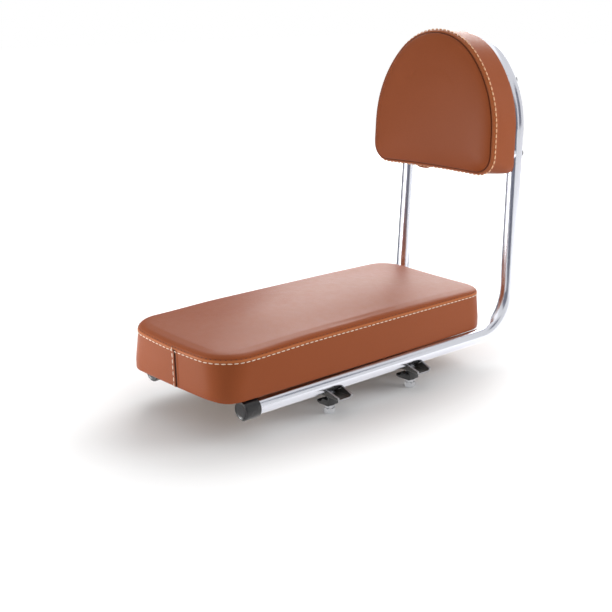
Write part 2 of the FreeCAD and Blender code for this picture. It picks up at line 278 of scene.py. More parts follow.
@dataclass(frozen=True)
class LeatherFinish(Finish):
    """Smooth tan leathercloth with a fine grain, with painted shade in the seam grooves and a painted
    highlight over the strip, which is partly a lighter stretched tone.
    """

    # Dark colour of the painted shade in the seam groove and in the gap of the front join; it also darkens
    # the valleys of the grain.
    shade_colour: Colour = rgb(56, 22, 10)
    worn_colour: Colour = rgb(166, 88, 50)
    # Lighter orange over the strip: a painted highlight where the strip catches light, partly the lighter
    # tone of the stretched leathercloth.
    strip_highlight_colour: Colour = rgb(206, 126, 76)
    cells: float = 820.0
    depth: float = 0.10
    gloss: float = 0.15

    def make(self) -> Material:
        """Build the material."""
        material, bench, shader, place = self.start()
        grain = bench.group(Effects.grain(), {"Vector": place, "Cells": self.cells})
        mottle = bench.group(Effects.mottle(), {"Vector": place, "Patches": 14.0})
        groove = bench.add("ShaderNodeAttribute", attribute_name="groove").outputs["Fac"]
        strip = bench.add("ShaderNodeAttribute", attribute_name="strip").outputs["Fac"]
        broad = bench.spread(mottle.outputs["Broad"], -0.25, 0.55)
        tone = bench.mix(bench.math("MULTIPLY", broad, 0.45, clamp=True), self.colour, self.worn_colour)
        valleys = bench.spread(grain.outputs["Tone"], 0.10, 0.0)
        tone = bench.mix(valleys, tone, self.shade_colour)
        # Painted highlight over the strip, partly its lighter stretched tone, from the strip attribute.
        tone = bench.mix(bench.math("MULTIPLY", strip, 0.5, clamp=True), tone, self.strip_highlight_colour)
        # Painted shade: the groove attribute darkens the seam groove and the gap of the front join.
        tone = bench.mix(bench.math("MULTIPLY", groove, 0.9, clamp=True), tone, self.shade_colour)
        bench.join(tone, shader.inputs["Base Color"])
        bench.join(self.rough(bench, mottle.outputs["Fine"], 0.07, 0.07), shader.inputs["Roughness"])
        bench.bump(shader, grain.outputs["Height"], self.depth, 0.0003)
        shader.inputs["Specular IOR Level"].default_value = self.gloss
        return material


@dataclass(frozen=True)
class ThreadFinish(Finish):
    """Twisted sewing thread."""

    shade: Colour = rgb(196, 150, 110)

    def make(self) -> Material:
        """Build the material."""
        material, bench, shader, place = self.start()
        mottle = bench.group(Effects.mottle(), {"Vector": place, "Patches": 260.0})
        share = bench.math("MULTIPLY", mottle.outputs["Fine"], 0.5)
        bench.join(bench.mix(share, self.colour, self.shade), shader.inputs["Base Color"])
        wave = {"Vector": place, "Scale": 900.0, "Distortion": 1.5}
        twist = bench.add("ShaderNodeTexWave", wave, bands_direction="DIAGONAL")
        bench.bump(shader, twist.outputs["Fac"], 0.35, 0.0002)
        bench.join(self.rough(bench, mottle.outputs["Broad"], 0.1, 0.1), shader.inputs["Roughness"])
        return material


@dataclass(frozen=True)
class TubeFinish(Finish):
    """Satin metal tube with fine drawing lines along its length."""

    streak: Colour = rgb(206, 208, 214)

    def make(self) -> Material:
        """Build the material."""
        material, bench, shader, place = self.start()
        around = bench.add("ShaderNodeAttribute", attribute_name="around").outputs["Vector"]
        along = bench.add("ShaderNodeAttribute", attribute_name="along").outputs["Fac"]
        spun = bench.add("ShaderNodeVectorMath", {0: around, "Scale": 26.0}, operation="SCALE")
        offset = bench.add("ShaderNodeCombineXYZ", {"Z": bench.math("MULTIPLY", along, 14.0)})
        path = bench.add("ShaderNodeVectorMath", {0: spun.outputs[0], 1: offset.outputs[0]}, operation="ADD")
        lines = bench.noise(path.outputs[0], 3.2, 4.0, 0.7)
        mottle = bench.group(Effects.mottle(), {"Vector": place, "Patches": 30.0})
        scuffs = bench.group(Effects.scuffs(), {"Vector": place, "Marks": 210.0, "Rarity": 0.66})
        bench.join(bench.mix(lines, self.colour, self.streak), shader.inputs["Base Color"])
        rough = bench.math("ADD", self.rough(bench, lines, 0.06, 0.06),
                           bench.spread(mottle.outputs["Broad"], -0.03, 0.05))
        rough = bench.math("ADD", rough, bench.math("MULTIPLY", scuffs.outputs["Mask"], 0.10))
        bench.join(rough, shader.inputs["Roughness"])
        bench.bump(shader, lines, 0.06, 0.0002)
        shader.inputs["Metallic"].default_value = 1.0
        return material


@dataclass(frozen=True)
class MouldedFinish(Finish):
    """Even surface with a faint texture and handling marks, for caps, jaws and the grey cards."""

    rubbed: Colour = rgb(74, 73, 76)
    texture: float = 1500.0

    def make(self) -> Material:
        """Build the material."""
        material, bench, shader, place = self.start()
        grain = bench.group(Effects.grain(), {"Vector": place, "Cells": self.texture})
        scuffs = bench.group(Effects.scuffs(), {"Vector": place, "Marks": 240.0, "Rarity": 0.60})
        share = bench.math("MULTIPLY", scuffs.outputs["Mask"], 0.5)
        bench.join(bench.mix(share, self.colour, self.rubbed), shader.inputs["Base Color"])
        rough = bench.math("ADD", self.rough(bench, grain.outputs["Tone"], 0.03, 0.05),
                           bench.math("MULTIPLY", scuffs.outputs["Mask"], 0.15))
        bench.join(rough, shader.inputs["Roughness"])
        bench.bump(shader, grain.outputs["Height"], 0.08, 0.0002)
        return material


@dataclass(frozen=True)
class ChannelFinish(Finish):
    """Dark paint on pressed steel, bare on the cut top edges and ends, the bare band also being a painted
    highlight on these edges.
    """

    bare_and_highlight: Colour = rgb(150, 150, 153)
    edge_height: float = 7.5
    taper_from: float = 84.0
    taper: float = 0.308
    end_reach: float = 96.5

    def make(self) -> Material:
        """Build the material."""
        material, bench, shader, place = self.start()
        parts = bench.add("ShaderNodeSeparateXYZ", {0: place})
        noise = bench.group(Effects.mottle(), {"Vector": place, "Patches": 60.0})
        wander = bench.spread(noise.outputs["Fine"], -0.0004, 0.0004)
        out = bench.math("ABSOLUTE", parts.outputs["X"])
        past = bench.math("MAXIMUM", bench.math("SUBTRACT", out, self.taper_from * MM), 0.0)
        level = bench.math("ADD", parts.outputs["Z"], bench.math("MULTIPLY", past, self.taper))
        top = bench.math("GREATER_THAN", bench.math("ADD", level, wander), self.edge_height * MM)
        reach = bench.math("ADD", out, wander)
        end = bench.math("GREATER_THAN", reach, self.end_reach * MM)
        scuffs = bench.group(Effects.scuffs(), {"Vector": place, "Marks": 150.0, "Rarity": 0.68})
        # Bare band on the top edges and ends, partly painted highlight of the lit edges; the scuffs add real
        # wear.
        edge = bench.math("MAXIMUM", top, end)
        cut = bench.math("MAXIMUM", edge, bench.math("MULTIPLY", scuffs.outputs["Mask"], 0.35))
        bench.join(bench.mix(cut, self.colour, self.bare_and_highlight), shader.inputs["Base Color"])
        bench.join(bench.math("MULTIPLY", cut, 0.8), shader.inputs["Metallic"])
        bench.join(self.rough(bench, noise.outputs["Broad"], 0.06, 0.08), shader.inputs["Roughness"])
        bench.bump(shader, noise.outputs["Fine"], 0.12, 0.0003)
        return material


@dataclass(frozen=True)
class ZincFinish(Finish):
    """Bright zinc plate with a faint spangle."""

    spangle: Colour = rgb(182, 183, 186)

    def make(self) -> Material:
        """Build the material."""
        material, bench, shader, place = self.start()
        cells = bench.add("ShaderNodeTexVoronoi", {"Vector": place, "Scale": 420.0})
        mottle = bench.group(Effects.mottle(), {"Vector": place, "Patches": 90.0})
        scuffs = bench.group(Effects.scuffs(), {"Vector": place, "Marks": 300.0, "Rarity": 0.58})
        share = bench.spread(cells.outputs["Color"], 0.2, 0.8)
        bench.join(bench.mix(share, self.colour, self.spangle), shader.inputs["Base Color"])
        rough = bench.math("ADD", self.rough(bench, mottle.outputs["Fine"], 0.08, 0.08),
                           bench.math("MULTIPLY", scuffs.outputs["Mask"], 0.12))
        bench.join(rough, shader.inputs["Roughness"])
        bench.bump(shader, mottle.outputs["Fine"], 0.08, 0.0002)
        shader.inputs["Metallic"].default_value = 1.0
        return material


@dataclass(frozen=True)
class BoardFinish(Finish):
    """Raw plywood board with long fibres."""

    dark: Colour = rgb(126, 92, 58)
    fibre_axis: Place = (260.0, 14.0, 260.0)

    def make(self) -> Material:
        """Build the material."""
        material, bench, shader, place = self.start()
        stretched = bench.add("ShaderNodeMapping", {"Vector": place, "Scale": self.fibre_axis})
        fibres = bench.noise(stretched.outputs[0], 1.0, 6.0, 0.65)
        mottle = bench.group(Effects.mottle(), {"Vector": place, "Patches": 24.0})
        share = bench.math("ADD", bench.spread(fibres, -0.6, 1.4),
                           bench.spread(mottle.outputs["Broad"], -0.2, 0.2), clamp=True)
        bench.join(bench.mix(share, self.colour, self.dark), shader.inputs["Base Color"])
        bench.join(self.rough(bench, fibres, 0.1, 0.1), shader.inputs["Roughness"])
        bench.bump(shader, fibres, 0.25, 0.0004)
        return material


@dataclass(frozen=True)
class FloorFinish(Finish):
    """Pale floor that shows white to the camera, keeps the shadow of the object and is clear from below."""

    near: float = 0.02
    far: float = 0.34
    beyond: float = 0.36
    mirrored: float = 0.6
    reach: Place = (9.0, 4.4, 0.0)
    far_run: tuple[float, float] = (0.8, 1.8)
    beyond_run: tuple[float, float] = (0.5, 1.8)

    def make(self) -> Material:
        """Build the material."""
        material, bench, shader, place = self.start()
        mottle = bench.group(Effects.mottle(), {"Vector": place, "Patches": 2.0})
        bench.join(self.rough(bench, mottle.outputs["Broad"], 0.03, 0.03), shader.inputs["Roughness"])
        shader.inputs["Base Color"].default_value = self.colour
        shader.inputs["Specular IOR Level"].default_value = 0.0
        spread = bench.add("ShaderNodeVectorMath", {0: place, 1: self.reach}, operation="MULTIPLY")
        away = bench.add("ShaderNodeVectorMath", {0: spread.outputs[0]}, operation="LENGTH").outputs["Value"]
        lift = bench.rise(away, *self.far_run, self.near, self.far)
        plain = bench.add("ShaderNodeVectorMath", {0: place}, operation="LENGTH").outputs["Value"]
        more = bench.rise(plain, *self.beyond_run, 0.0, self.beyond)
        glossy = bench.add("ShaderNodeLightPath").outputs["Is Glossy Ray"]
        mirror = bench.math("MULTIPLY", glossy, self.mirrored)
        level = bench.math("MAXIMUM", bench.math("ADD", lift, more), mirror)
        strength = bench.math("MULTIPLY", bench.seen(), level)
        glow = bench.add("ShaderNodeEmission", {"Color": (1, 1, 1, 1), "Strength": strength})
        both = bench.add("ShaderNodeAddShader", {0: shader.outputs[0], 1: glow.outputs[0]})
        clear = bench.add("ShaderNodeBsdfTransparent")
        below = bench.add("ShaderNodeMixShader", {0: bench.add("ShaderNodeNewGeometry").outputs["Backfacing"],
                                                  1: both.outputs[0], 2: clear.outputs[0]})
        bench.join(below.outputs[0], material.node_tree.nodes["Material Output"].inputs["Surface"])
        return material


@dataclass
class Finishes:
    """All finishes of the seat as materials."""

    leather: Material
    thread: Material
    warm_thread: Material
    dark_thread: Material
    tube: Material
    cap: Material
    jaw: Material
    channel: Material
    zinc: Material
    board: Material
    card: Material
    floor: Material

    @classmethod
    def make(cls) -> "Finishes":
        """Build every finish once."""
        finishes = dict(
            leather=LeatherFinish("tan_leathercloth", rgb(148, 76, 40), 0.42),
            thread=ThreadFinish("cream_thread", rgb(250, 238, 222), 0.65, shade=rgb(226, 196, 164)),
            # Warmer, darker copy of the cream thread: painted shade on the pad's stitches.
            warm_thread=ThreadFinish("warm_thread", rgb(248, 202, 160), 0.65, shade=rgb(222, 160, 114)),
            # Dark thread colour that paints the shade of the needle holes in the seam groove.
            dark_thread=ThreadFinish("dark_thread", rgb(96, 44, 20), 0.7, shade=rgb(60, 26, 12)),
            tube=TubeFinish("satin_tube_metal", rgb(202, 204, 213), 0.20, streak=rgb(216, 217, 223)),
            cap=MouldedFinish("black_cap_plastic", rgb(24, 23, 25), 0.30),
            jaw=MouldedFinish("black_jaw_cast", rgb(20, 20, 21), 0.46, texture=900.0),
            channel=ChannelFinish("olive_black_paint", rgb(46, 44, 40), 0.38),
            zinc=ZincFinish("bright_zinc", rgb(160, 161, 164), 0.26),
            board=BoardFinish("raw_plywood", rgb(186, 148, 104), 0.75),
            card=MouldedFinish("grey_card", rgb(110, 112, 124), 0.8),
            floor=FloorFinish("pale_floor", (0.80, 0.80, 0.80, 1.0), 0.9),
        )
        return cls(**{use: finish.make() for use, finish in finishes.items()})


# Mesh tools


class Shop:
    """Mesh steps that the sub-assemblies share."""

    TURN: list[float] = [2 * math.pi * k / 48 for k in range(48)]
    FLAT_DEGREES: float = 1.0
    EASED_DEGREES: float = 32.0
    SHARP_DEGREES: float = 38.0

    @staticmethod
    def put(name: str, mesh: bpy.types.Mesh) -> Object:
        """Put a mesh into the scene as an object at the origin."""
        made = bpy.data.objects.new(name, mesh)
        bpy.context.scene.collection.objects.link(made)
        return made

    @staticmethod
    def ring_faces(rows: int, count: int) -> Faces:
        """Faces between neighbouring rings of equal counts of points."""
        faces: Faces = []
        for low in range(0, (rows - 1) * count, count):
            for i in range(count):
                k = (i + 1) % count
                faces.append((low + i, low + k, low + count + k, low + count + i))
        return faces

    @staticmethod
    def mark(made: Object, name: str, values: np.ndarray) -> None:
        """Store a value on each point of a piece."""
        data = made.data.attributes.new(name, "FLOAT", "POINT").data
        data.foreach_set("value", np.asarray(values, np.float32))

    @staticmethod
    def loose(name: str, bm: bmesh.types.BMesh, sharp: float = 180.0) -> Object:
        """Turn a bmesh into a smooth object that a row or a set is made of.

        Args:
            name: name of the object.
            bm: the mesh, which is freed.
            sharp: angle in degrees over which an edge stays sharp.
        """
        bmesh.ops.recalc_face_normals(bm, faces=bm.faces)
        for face in bm.faces:
            face.smooth = True
        mesh = bpy.data.meshes.new(name)
        bm.to_mesh(mesh)
        bm.free()
        mesh.set_sharp_from_angle(angle=math.radians(sharp))
        return Shop.put(name, mesh)

    @staticmethod
    def rows(bm: bmesh.types.BMesh, rows: list[list[tuple[float, float]]], first: float, last: float) -> None:
        """Skin rows of (radius, height) about the z axis, in millimetres, and close both ends.

        Args:
            bm: mesh to fill.
            rows: one pair for each angle of a turn.
            first: height of the middle of the first end.
            last: height of the middle of the last end.
        """
        turns = len(Shop.TURN)
        made = []
        for row in rows:
            ring = []
            for (r, z), t in zip(row, Shop.TURN):
                ring.append(bm.verts.new((r * math.cos(t) * MM, r * math.sin(t) * MM, z * MM)))
            made.append(ring)
        for low, high in zip(made, made[1:]):
            for k in range(turns):
                bm.faces.new((low[k], low[(k + 1) % turns], high[(k + 1) % turns], high[k]))
        for row, z in ((made[0], first), (made[-1], last)):
            hub = bm.verts.new((0, 0, z * MM))
            for k in range(turns):
                bm.faces.new((hub, row[k], row[(k + 1) % turns]))

    @staticmethod
    def set_out(name: str, spots: np.ndarray, axis: Place, one: Object, node: str,
                material: Material) -> None:
        """Put a loose piece at each spot and let the set stand for its solids.

        Args:
            name: name of the set.
            spots: places in metres.
            axis: direction of the piece's own z.
            one: the loose piece, which is taken away.
            node: solids that the set stands for.
            material: finish of the set.
        """
        made = Trees.points(name, spots, np.tile(axis, (len(spots), 1)))
        Trees.run(Trees.spots(), made, {"Piece": one, "Seed": Seed.SETS.value, "Material": material})
        bpy.data.objects.remove(one)
        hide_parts(node)
        Shop.finish(made, Slot.ZINC)

    @staticmethod
    def piece(name: str, points: np.ndarray, faces: Faces, material: Material | None = None) -> Object:
        """Make an object from points in metres.

        Args:
            name: name of the piece.
            points: vertices.
            faces: vertex numbers of each face.
            material: finish of the piece.

        Returns:
            The new object at the origin.
        """
        mesh = bpy.data.meshes.new(name)
        mesh.from_pydata([tuple(map(float, p)) for p in points], [], faces)
        mesh.validate()
        if material is not None:
            mesh.materials.append(material)
        return Shop.put(name, mesh)

    @staticmethod
    def outward(made: Object, smooth: bool = True, merge: bool = True) -> None:
        """Turn the faces of a closed mesh outward and set their shading.

        Args:
            made: the piece.
            smooth: whether its faces are shaded smooth.
            merge: whether points that lie on one another become one.
        """
        bm = bmesh.new()
        bm.from_mesh(made.data)
        if merge:
            bmesh.ops.remove_doubles(bm, verts=bm.verts, dist=1e-7)
        bmesh.ops.recalc_face_normals(bm, faces=bm.faces)
        for face in bm.faces:
            face.smooth = smooth
        bm.to_mesh(made.data)
        bm.free()

    @staticmethod
    def plain(made: Object) -> Object:
        """Turn an object with modifiers into a plain mesh under the same name."""
        bpy.context.view_layer.update()
        graph = bpy.context.evaluated_depsgraph_get()
        mesh = bpy.data.meshes.new_from_object(made.evaluated_get(graph), depsgraph=graph)
        made.modifiers.clear()
        made.data = mesh
        return made

    @staticmethod
    def lathe(name: str, profile: list[tuple[float, float]], turns: int, place: Matrix,
              material: Material) -> Object:
        """Turn a closed (radius, height) profile about its axis.

        Args:
            name: name of the piece.
            profile: pairs in millimetres whose first and last lie on the axis.
            turns: number of steps round the axis.
            place: matrix from the axis frame to the row frame, in metres.
            material: finish of the piece.

        Returns:
            The turned piece.
        """
        points: list[Place] = []
        for radius, height in profile[1:-1]:
            for step in range(turns):
                angle = 2 * math.pi * step / turns
                points.append((radius * math.cos(angle), radius * math.sin(angle), height))
        rows = len(profile) - 2
        faces = Shop.ring_faces(rows, turns)
        first, last = len(points), len(points) + 1
        points += [(0, 0, profile[0][1]), (0, 0, profile[-1][1])]
        for step in range(turns):
            other = (step + 1) % turns
            faces.append((first, other, step))
            faces.append((last, (rows - 1) * turns + step, (rows - 1) * turns + other))
        made = Shop.piece(name, np.array(points) * MM, faces, material)
        made.data.transform(place)
        Shop.outward(made)
        return made

    @staticmethod
    def softened(node: str, name: str, width: float, material: Material) -> Object:
        """Copy a solid of the frame and ease its hard edges.

        Args:
            node: name of the solid.
            name: name of the new piece.
            width: width of the eased edge in millimetres.
            material: finish of the piece.

        Returns:
            The eased copy, which stands for the solid.
        """
        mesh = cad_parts[node].data.copy()
        made = Shop.put(name, mesh)
        mesh.materials.clear()
        mesh.materials.append(material)
        bm = bmesh.new()
        bm.from_mesh(mesh)
        bmesh.ops.remove_doubles(bm, verts=bm.verts, dist=2e-6)
        flat = math.radians(Shop.FLAT_DEGREES)
        bmesh.ops.dissolve_limit(bm, angle_limit=flat, verts=bm.verts, edges=bm.edges)
        bmesh.ops.recalc_face_normals(bm, faces=bm.faces)
        bm.to_mesh(mesh)
        bm.free()
        if "custom_normal" in mesh.attributes:
            mesh.attributes.remove(mesh.attributes["custom_normal"])
        bevel = made.modifiers.new("eased", "BEVEL")
        bevel.width = width * MM
        bevel.segments = 2
        bevel.limit_method = "ANGLE"
        bevel.angle_limit = math.radians(Shop.EASED_DEGREES)
        bevel.use_clamp_overlap = True
        Shop.plain(made)
        made.data.shade_smooth()
        made.data.set_sharp_from_angle(angle=math.radians(Shop.SHARP_DEGREES))
        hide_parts(node)
        return made

    @staticmethod
    def finish(made: Object, slot: Slot | None) -> Object:
        """Fix a piece to the object and report it."""
        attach(made, BODY)
        log.info("piece %s: %d faces", made.name, len(made.data.polygons))
        return made


class Trees:
    """Geometry node trees for what follows a path or repeats."""

    @staticmethod
    def _new(name: str, inputs: list[tuple[str, str]]) -> tuple[Bench, Node, Node]:
        """Start a tree with a geometry input, named inputs and a geometry output."""
        tree = bpy.data.node_groups.new(name, "GeometryNodeTree")
        tree.interface.new_socket("Geometry", in_out="INPUT", socket_type="NodeSocketGeometry")
        for label, kind in inputs:
            tree.interface.new_socket(label, in_out="INPUT", socket_type=kind)
        tree.interface.new_socket("Geometry", in_out="OUTPUT", socket_type="NodeSocketGeometry")
        bench = Bench(tree)
        return bench, bench.add("NodeGroupInput"), bench.add("NodeGroupOutput")

    @staticmethod
    def _end(bench: Bench, start: Node, end: Node, shape: NodeSocket) -> None:
        """Realize the instances, set the material and hand the result out."""
        real = bench.add("GeometryNodeRealizeInstances", {0: shape})
        inputs = {0: real.outputs[0], "Material": start.outputs["Material"]}
        painted = bench.add("GeometryNodeSetMaterial", inputs)
        bench.join(painted.outputs[0], end.inputs[0])

    @staticmethod
    def _store(bench: Bench, shape: NodeSocket, name: str, value: NodeSocket, kind: str) -> NodeSocket:
        """Keep a value on each point under a name and give the shape."""
        inputs = {0: shape, "Name": name, "Value": value}
        node = bench.add("GeometryNodeStoreNamedAttribute", inputs, data_type=kind, domain="POINT")
        return node.outputs[0]

    @staticmethod
    def _facing(bench: Bench) -> NodeSocket:
        """Give the facing stored on each point."""
        node = bench.add("GeometryNodeInputNamedAttribute", {"Name": "facing"}, data_type="FLOAT_VECTOR")
        return node.outputs[0]

    @staticmethod
    def _lay(bench: Bench, start: Node, end: Node, spots: NodeSocket, turn: NodeSocket,
             swing: tuple[object, object]) -> None:
        """Set the piece on each spot, spun about its own z by a random angle, and hand the result out.

        Args:
            bench: bench of the tree.
            start: input node, with the piece and the seed.
            end: output node.
            spots: points to set the piece on.
            turn: rotation of the piece on each point.
            swing: least and greatest angle.
        """
        spin = bench.add("FunctionNodeRandomValue",
                         {"Min": swing[0], "Max": swing[1], "Seed": start.outputs["Seed"]}, data_type="FLOAT")
        about = bench.add("ShaderNodeCombineXYZ", {2: spin.outputs["Value"]})
        loose = bench.add("FunctionNodeEulerToRotation", {0: about.outputs[0]})
        both = bench.add("FunctionNodeRotateRotation", {0: turn, 1: loose.outputs[0]}, rotation_space="LOCAL")
        shape = bench.add("GeometryNodeObjectInfo", {0: start.outputs["Piece"]}, transform_space="ORIGINAL")
        laid = bench.add("GeometryNodeInstanceOnPoints",
                         {0: spots, "Instance": shape.outputs["Geometry"], "Rotation": both.outputs[0]})
        Trees._end(bench, start, end, laid.outputs[0])

    @staticmethod
    @cache
    def bar() -> NodeTree:
        """Oval bar along a path, with its place along and around the path kept as attributes."""
        bench, start, end = Trees._new("bar", [
            ("Half Width", "NodeSocketFloat"), ("Half Height", "NodeSocketFloat"), ("Sides", "NodeSocketInt"),
            ("Material", "NodeSocketMaterial")])
        path = bench.add("GeometryNodeMeshToCurve", {0: start.outputs["Geometry"]})
        upright = bench.add("GeometryNodeSetCurveNormal", {0: path.outputs[0]}, mode="Z_UP")
        length = bench.add("GeometryNodeSplineParameter").outputs["Length"]
        marked = Trees._store(bench, upright.outputs[0], "along", length, "FLOAT")
        rim = {"Resolution": start.outputs["Sides"], "Radius": 1.0}
        circle = bench.add("GeometryNodeCurvePrimitiveCircle", rim)
        spot = bench.add("GeometryNodeInputPosition").outputs[0]
        turned = Trees._store(bench, circle.outputs[0], "around", spot, "FLOAT_VECTOR")
        half = {0: start.outputs["Half Height"], 1: start.outputs["Half Width"], 2: 1.0}
        size = bench.add("ShaderNodeCombineXYZ", half)
        section = bench.add("GeometryNodeTransform", {0: turned, "Scale": size.outputs[0]})
        swept = bench.add("GeometryNodeCurveToMesh", {0: marked, 1: section.outputs[0], "Fill Caps": True})
        smooth = bench.add("GeometryNodeSetShadeSmooth", {0: swept.outputs[0], "Shade Smooth": True})
        Trees._end(bench, start, end, smooth.outputs[0])
        return bench.tree

    @staticmethod
    @cache
    def row() -> NodeTree:
        """A count of equal pieces spaced along a path, turned to its run and to its stored facing."""
        bench, start, end = Trees._new("row", [
            ("Count", "NodeSocketInt"), ("Piece", "NodeSocketObject"), ("Wander", "NodeSocketFloat"),
            ("Seed", "NodeSocketInt"), ("Material", "NodeSocketMaterial")])
        path = bench.add("GeometryNodeMeshToCurve", {0: start.outputs["Geometry"]})
        spread = {0: path.outputs[0], "Count": start.outputs["Count"]}
        spots = bench.add("GeometryNodeCurveToPoints", spread, mode="COUNT")
        facing = Trees._facing(bench)
        run = bench.add("FunctionNodeAlignRotationToVector", {"Vector": spots.outputs["Tangent"]}, axis="X")
        turn = bench.add("FunctionNodeAlignRotationToVector", {"Rotation": run.outputs[0], "Vector": facing},
                         axis="Z", pivot_axis="X")
        back = bench.math("MULTIPLY", start.outputs["Wander"], -1.0)
        Trees._lay(bench, start, end, spots.outputs[0], turn.outputs[0], (back, start.outputs["Wander"]))
        return bench.tree

    @staticmethod
    @cache
    def spots() -> NodeTree:
        """A piece on each point, its own z turned to the stored facing."""
        bench, start, end = Trees._new("spots", [
            ("Piece", "NodeSocketObject"), ("Seed", "NodeSocketInt"), ("Material", "NodeSocketMaterial")])
        facing = Trees._facing(bench)
        stand = bench.add("FunctionNodeAlignRotationToVector", {"Vector": facing}, axis="Z")
        Trees._lay(bench, start, end, start.outputs["Geometry"], stand.outputs[0], (0.0, 2 * math.pi))
        return bench.tree

    @staticmethod
    def run(tree: NodeTree, made: Object, values: dict[str, object]) -> Object:
        """Put a tree on an object, set its inputs by identifier and make the result plain.

        Args:
            tree: the tree.
            made: object with the path or the points.
            values: input name to value.

        Returns:
            The same object with the finished mesh.
        """
        modifier = made.modifiers.new(tree.name, "NODES")
        modifier.node_group = tree
        for item in tree.interface.items_tree:
            if item.in_out == "INPUT" and item.name in values:
                modifier[item.identifier] = values[item.name]
        Shop.plain(made)
        return made

    @staticmethod
    def points(name: str, points: np.ndarray, facing: np.ndarray | None = None,
               edges: list[tuple[int, int]] | None = None) -> Object:
        """Make points in metres, with edges between them and a facing stored on each where given."""
        mesh = bpy.data.meshes.new(name)
        mesh.from_pydata([tuple(map(float, p)) for p in points], edges or [], [])
        if facing is not None:
            values = np.asarray(facing, np.float32).ravel()
            mesh.attributes.new("facing", "FLOAT_VECTOR", "POINT").data.foreach_set("vector", values)
        return Shop.put(name, mesh)

    @staticmethod
    def path(name: str, points: np.ndarray, closed: bool, facing: np.ndarray | None = None) -> Object:
        """Make a line of edges in metres, with a facing stored on each point where given."""
        count = len(points)
        edges = [(i, i + 1) for i in range(count - 1)] + ([(count - 1, 0)] if closed else [])
        return Trees.points(name, points, facing, edges)


def resampled(line: np.ndarray, shares: np.ndarray) -> np.ndarray:
    """Points at given shares of the length of a line.

    Args:
        line: points of the line.
        shares: shares of the length, from 0 to 1.

    Returns:
        One point for each share.
    """
    steps = np.linalg.norm(np.diff(line, axis=0), axis=1)
    reach = np.concatenate([[0.0], np.cumsum(steps)])
    at = shares * reach[-1]
    return np.stack([np.interp(at, reach, line[:, k]) for k in range(line.shape[1])], 1)


def ramp(value: np.ndarray) -> np.ndarray:
    """Smooth rise from 0 to 1 while a value runs from 0 to 1."""
    held = np.clip(value, 0, 1)
    return held ** 2 * (3 - 2 * held)


def arc_line(centre: tuple[float, float], radius: float, start: float, end: float) -> np.ndarray:
    """Points of a flat arc between two angles in degrees."""
    angles = np.radians(np.linspace(start, end, 25))
    return np.stack([centre[0] + radius * np.cos(angles), centre[1] + radius * np.sin(angles)], 1)


# Frame tube and its caps


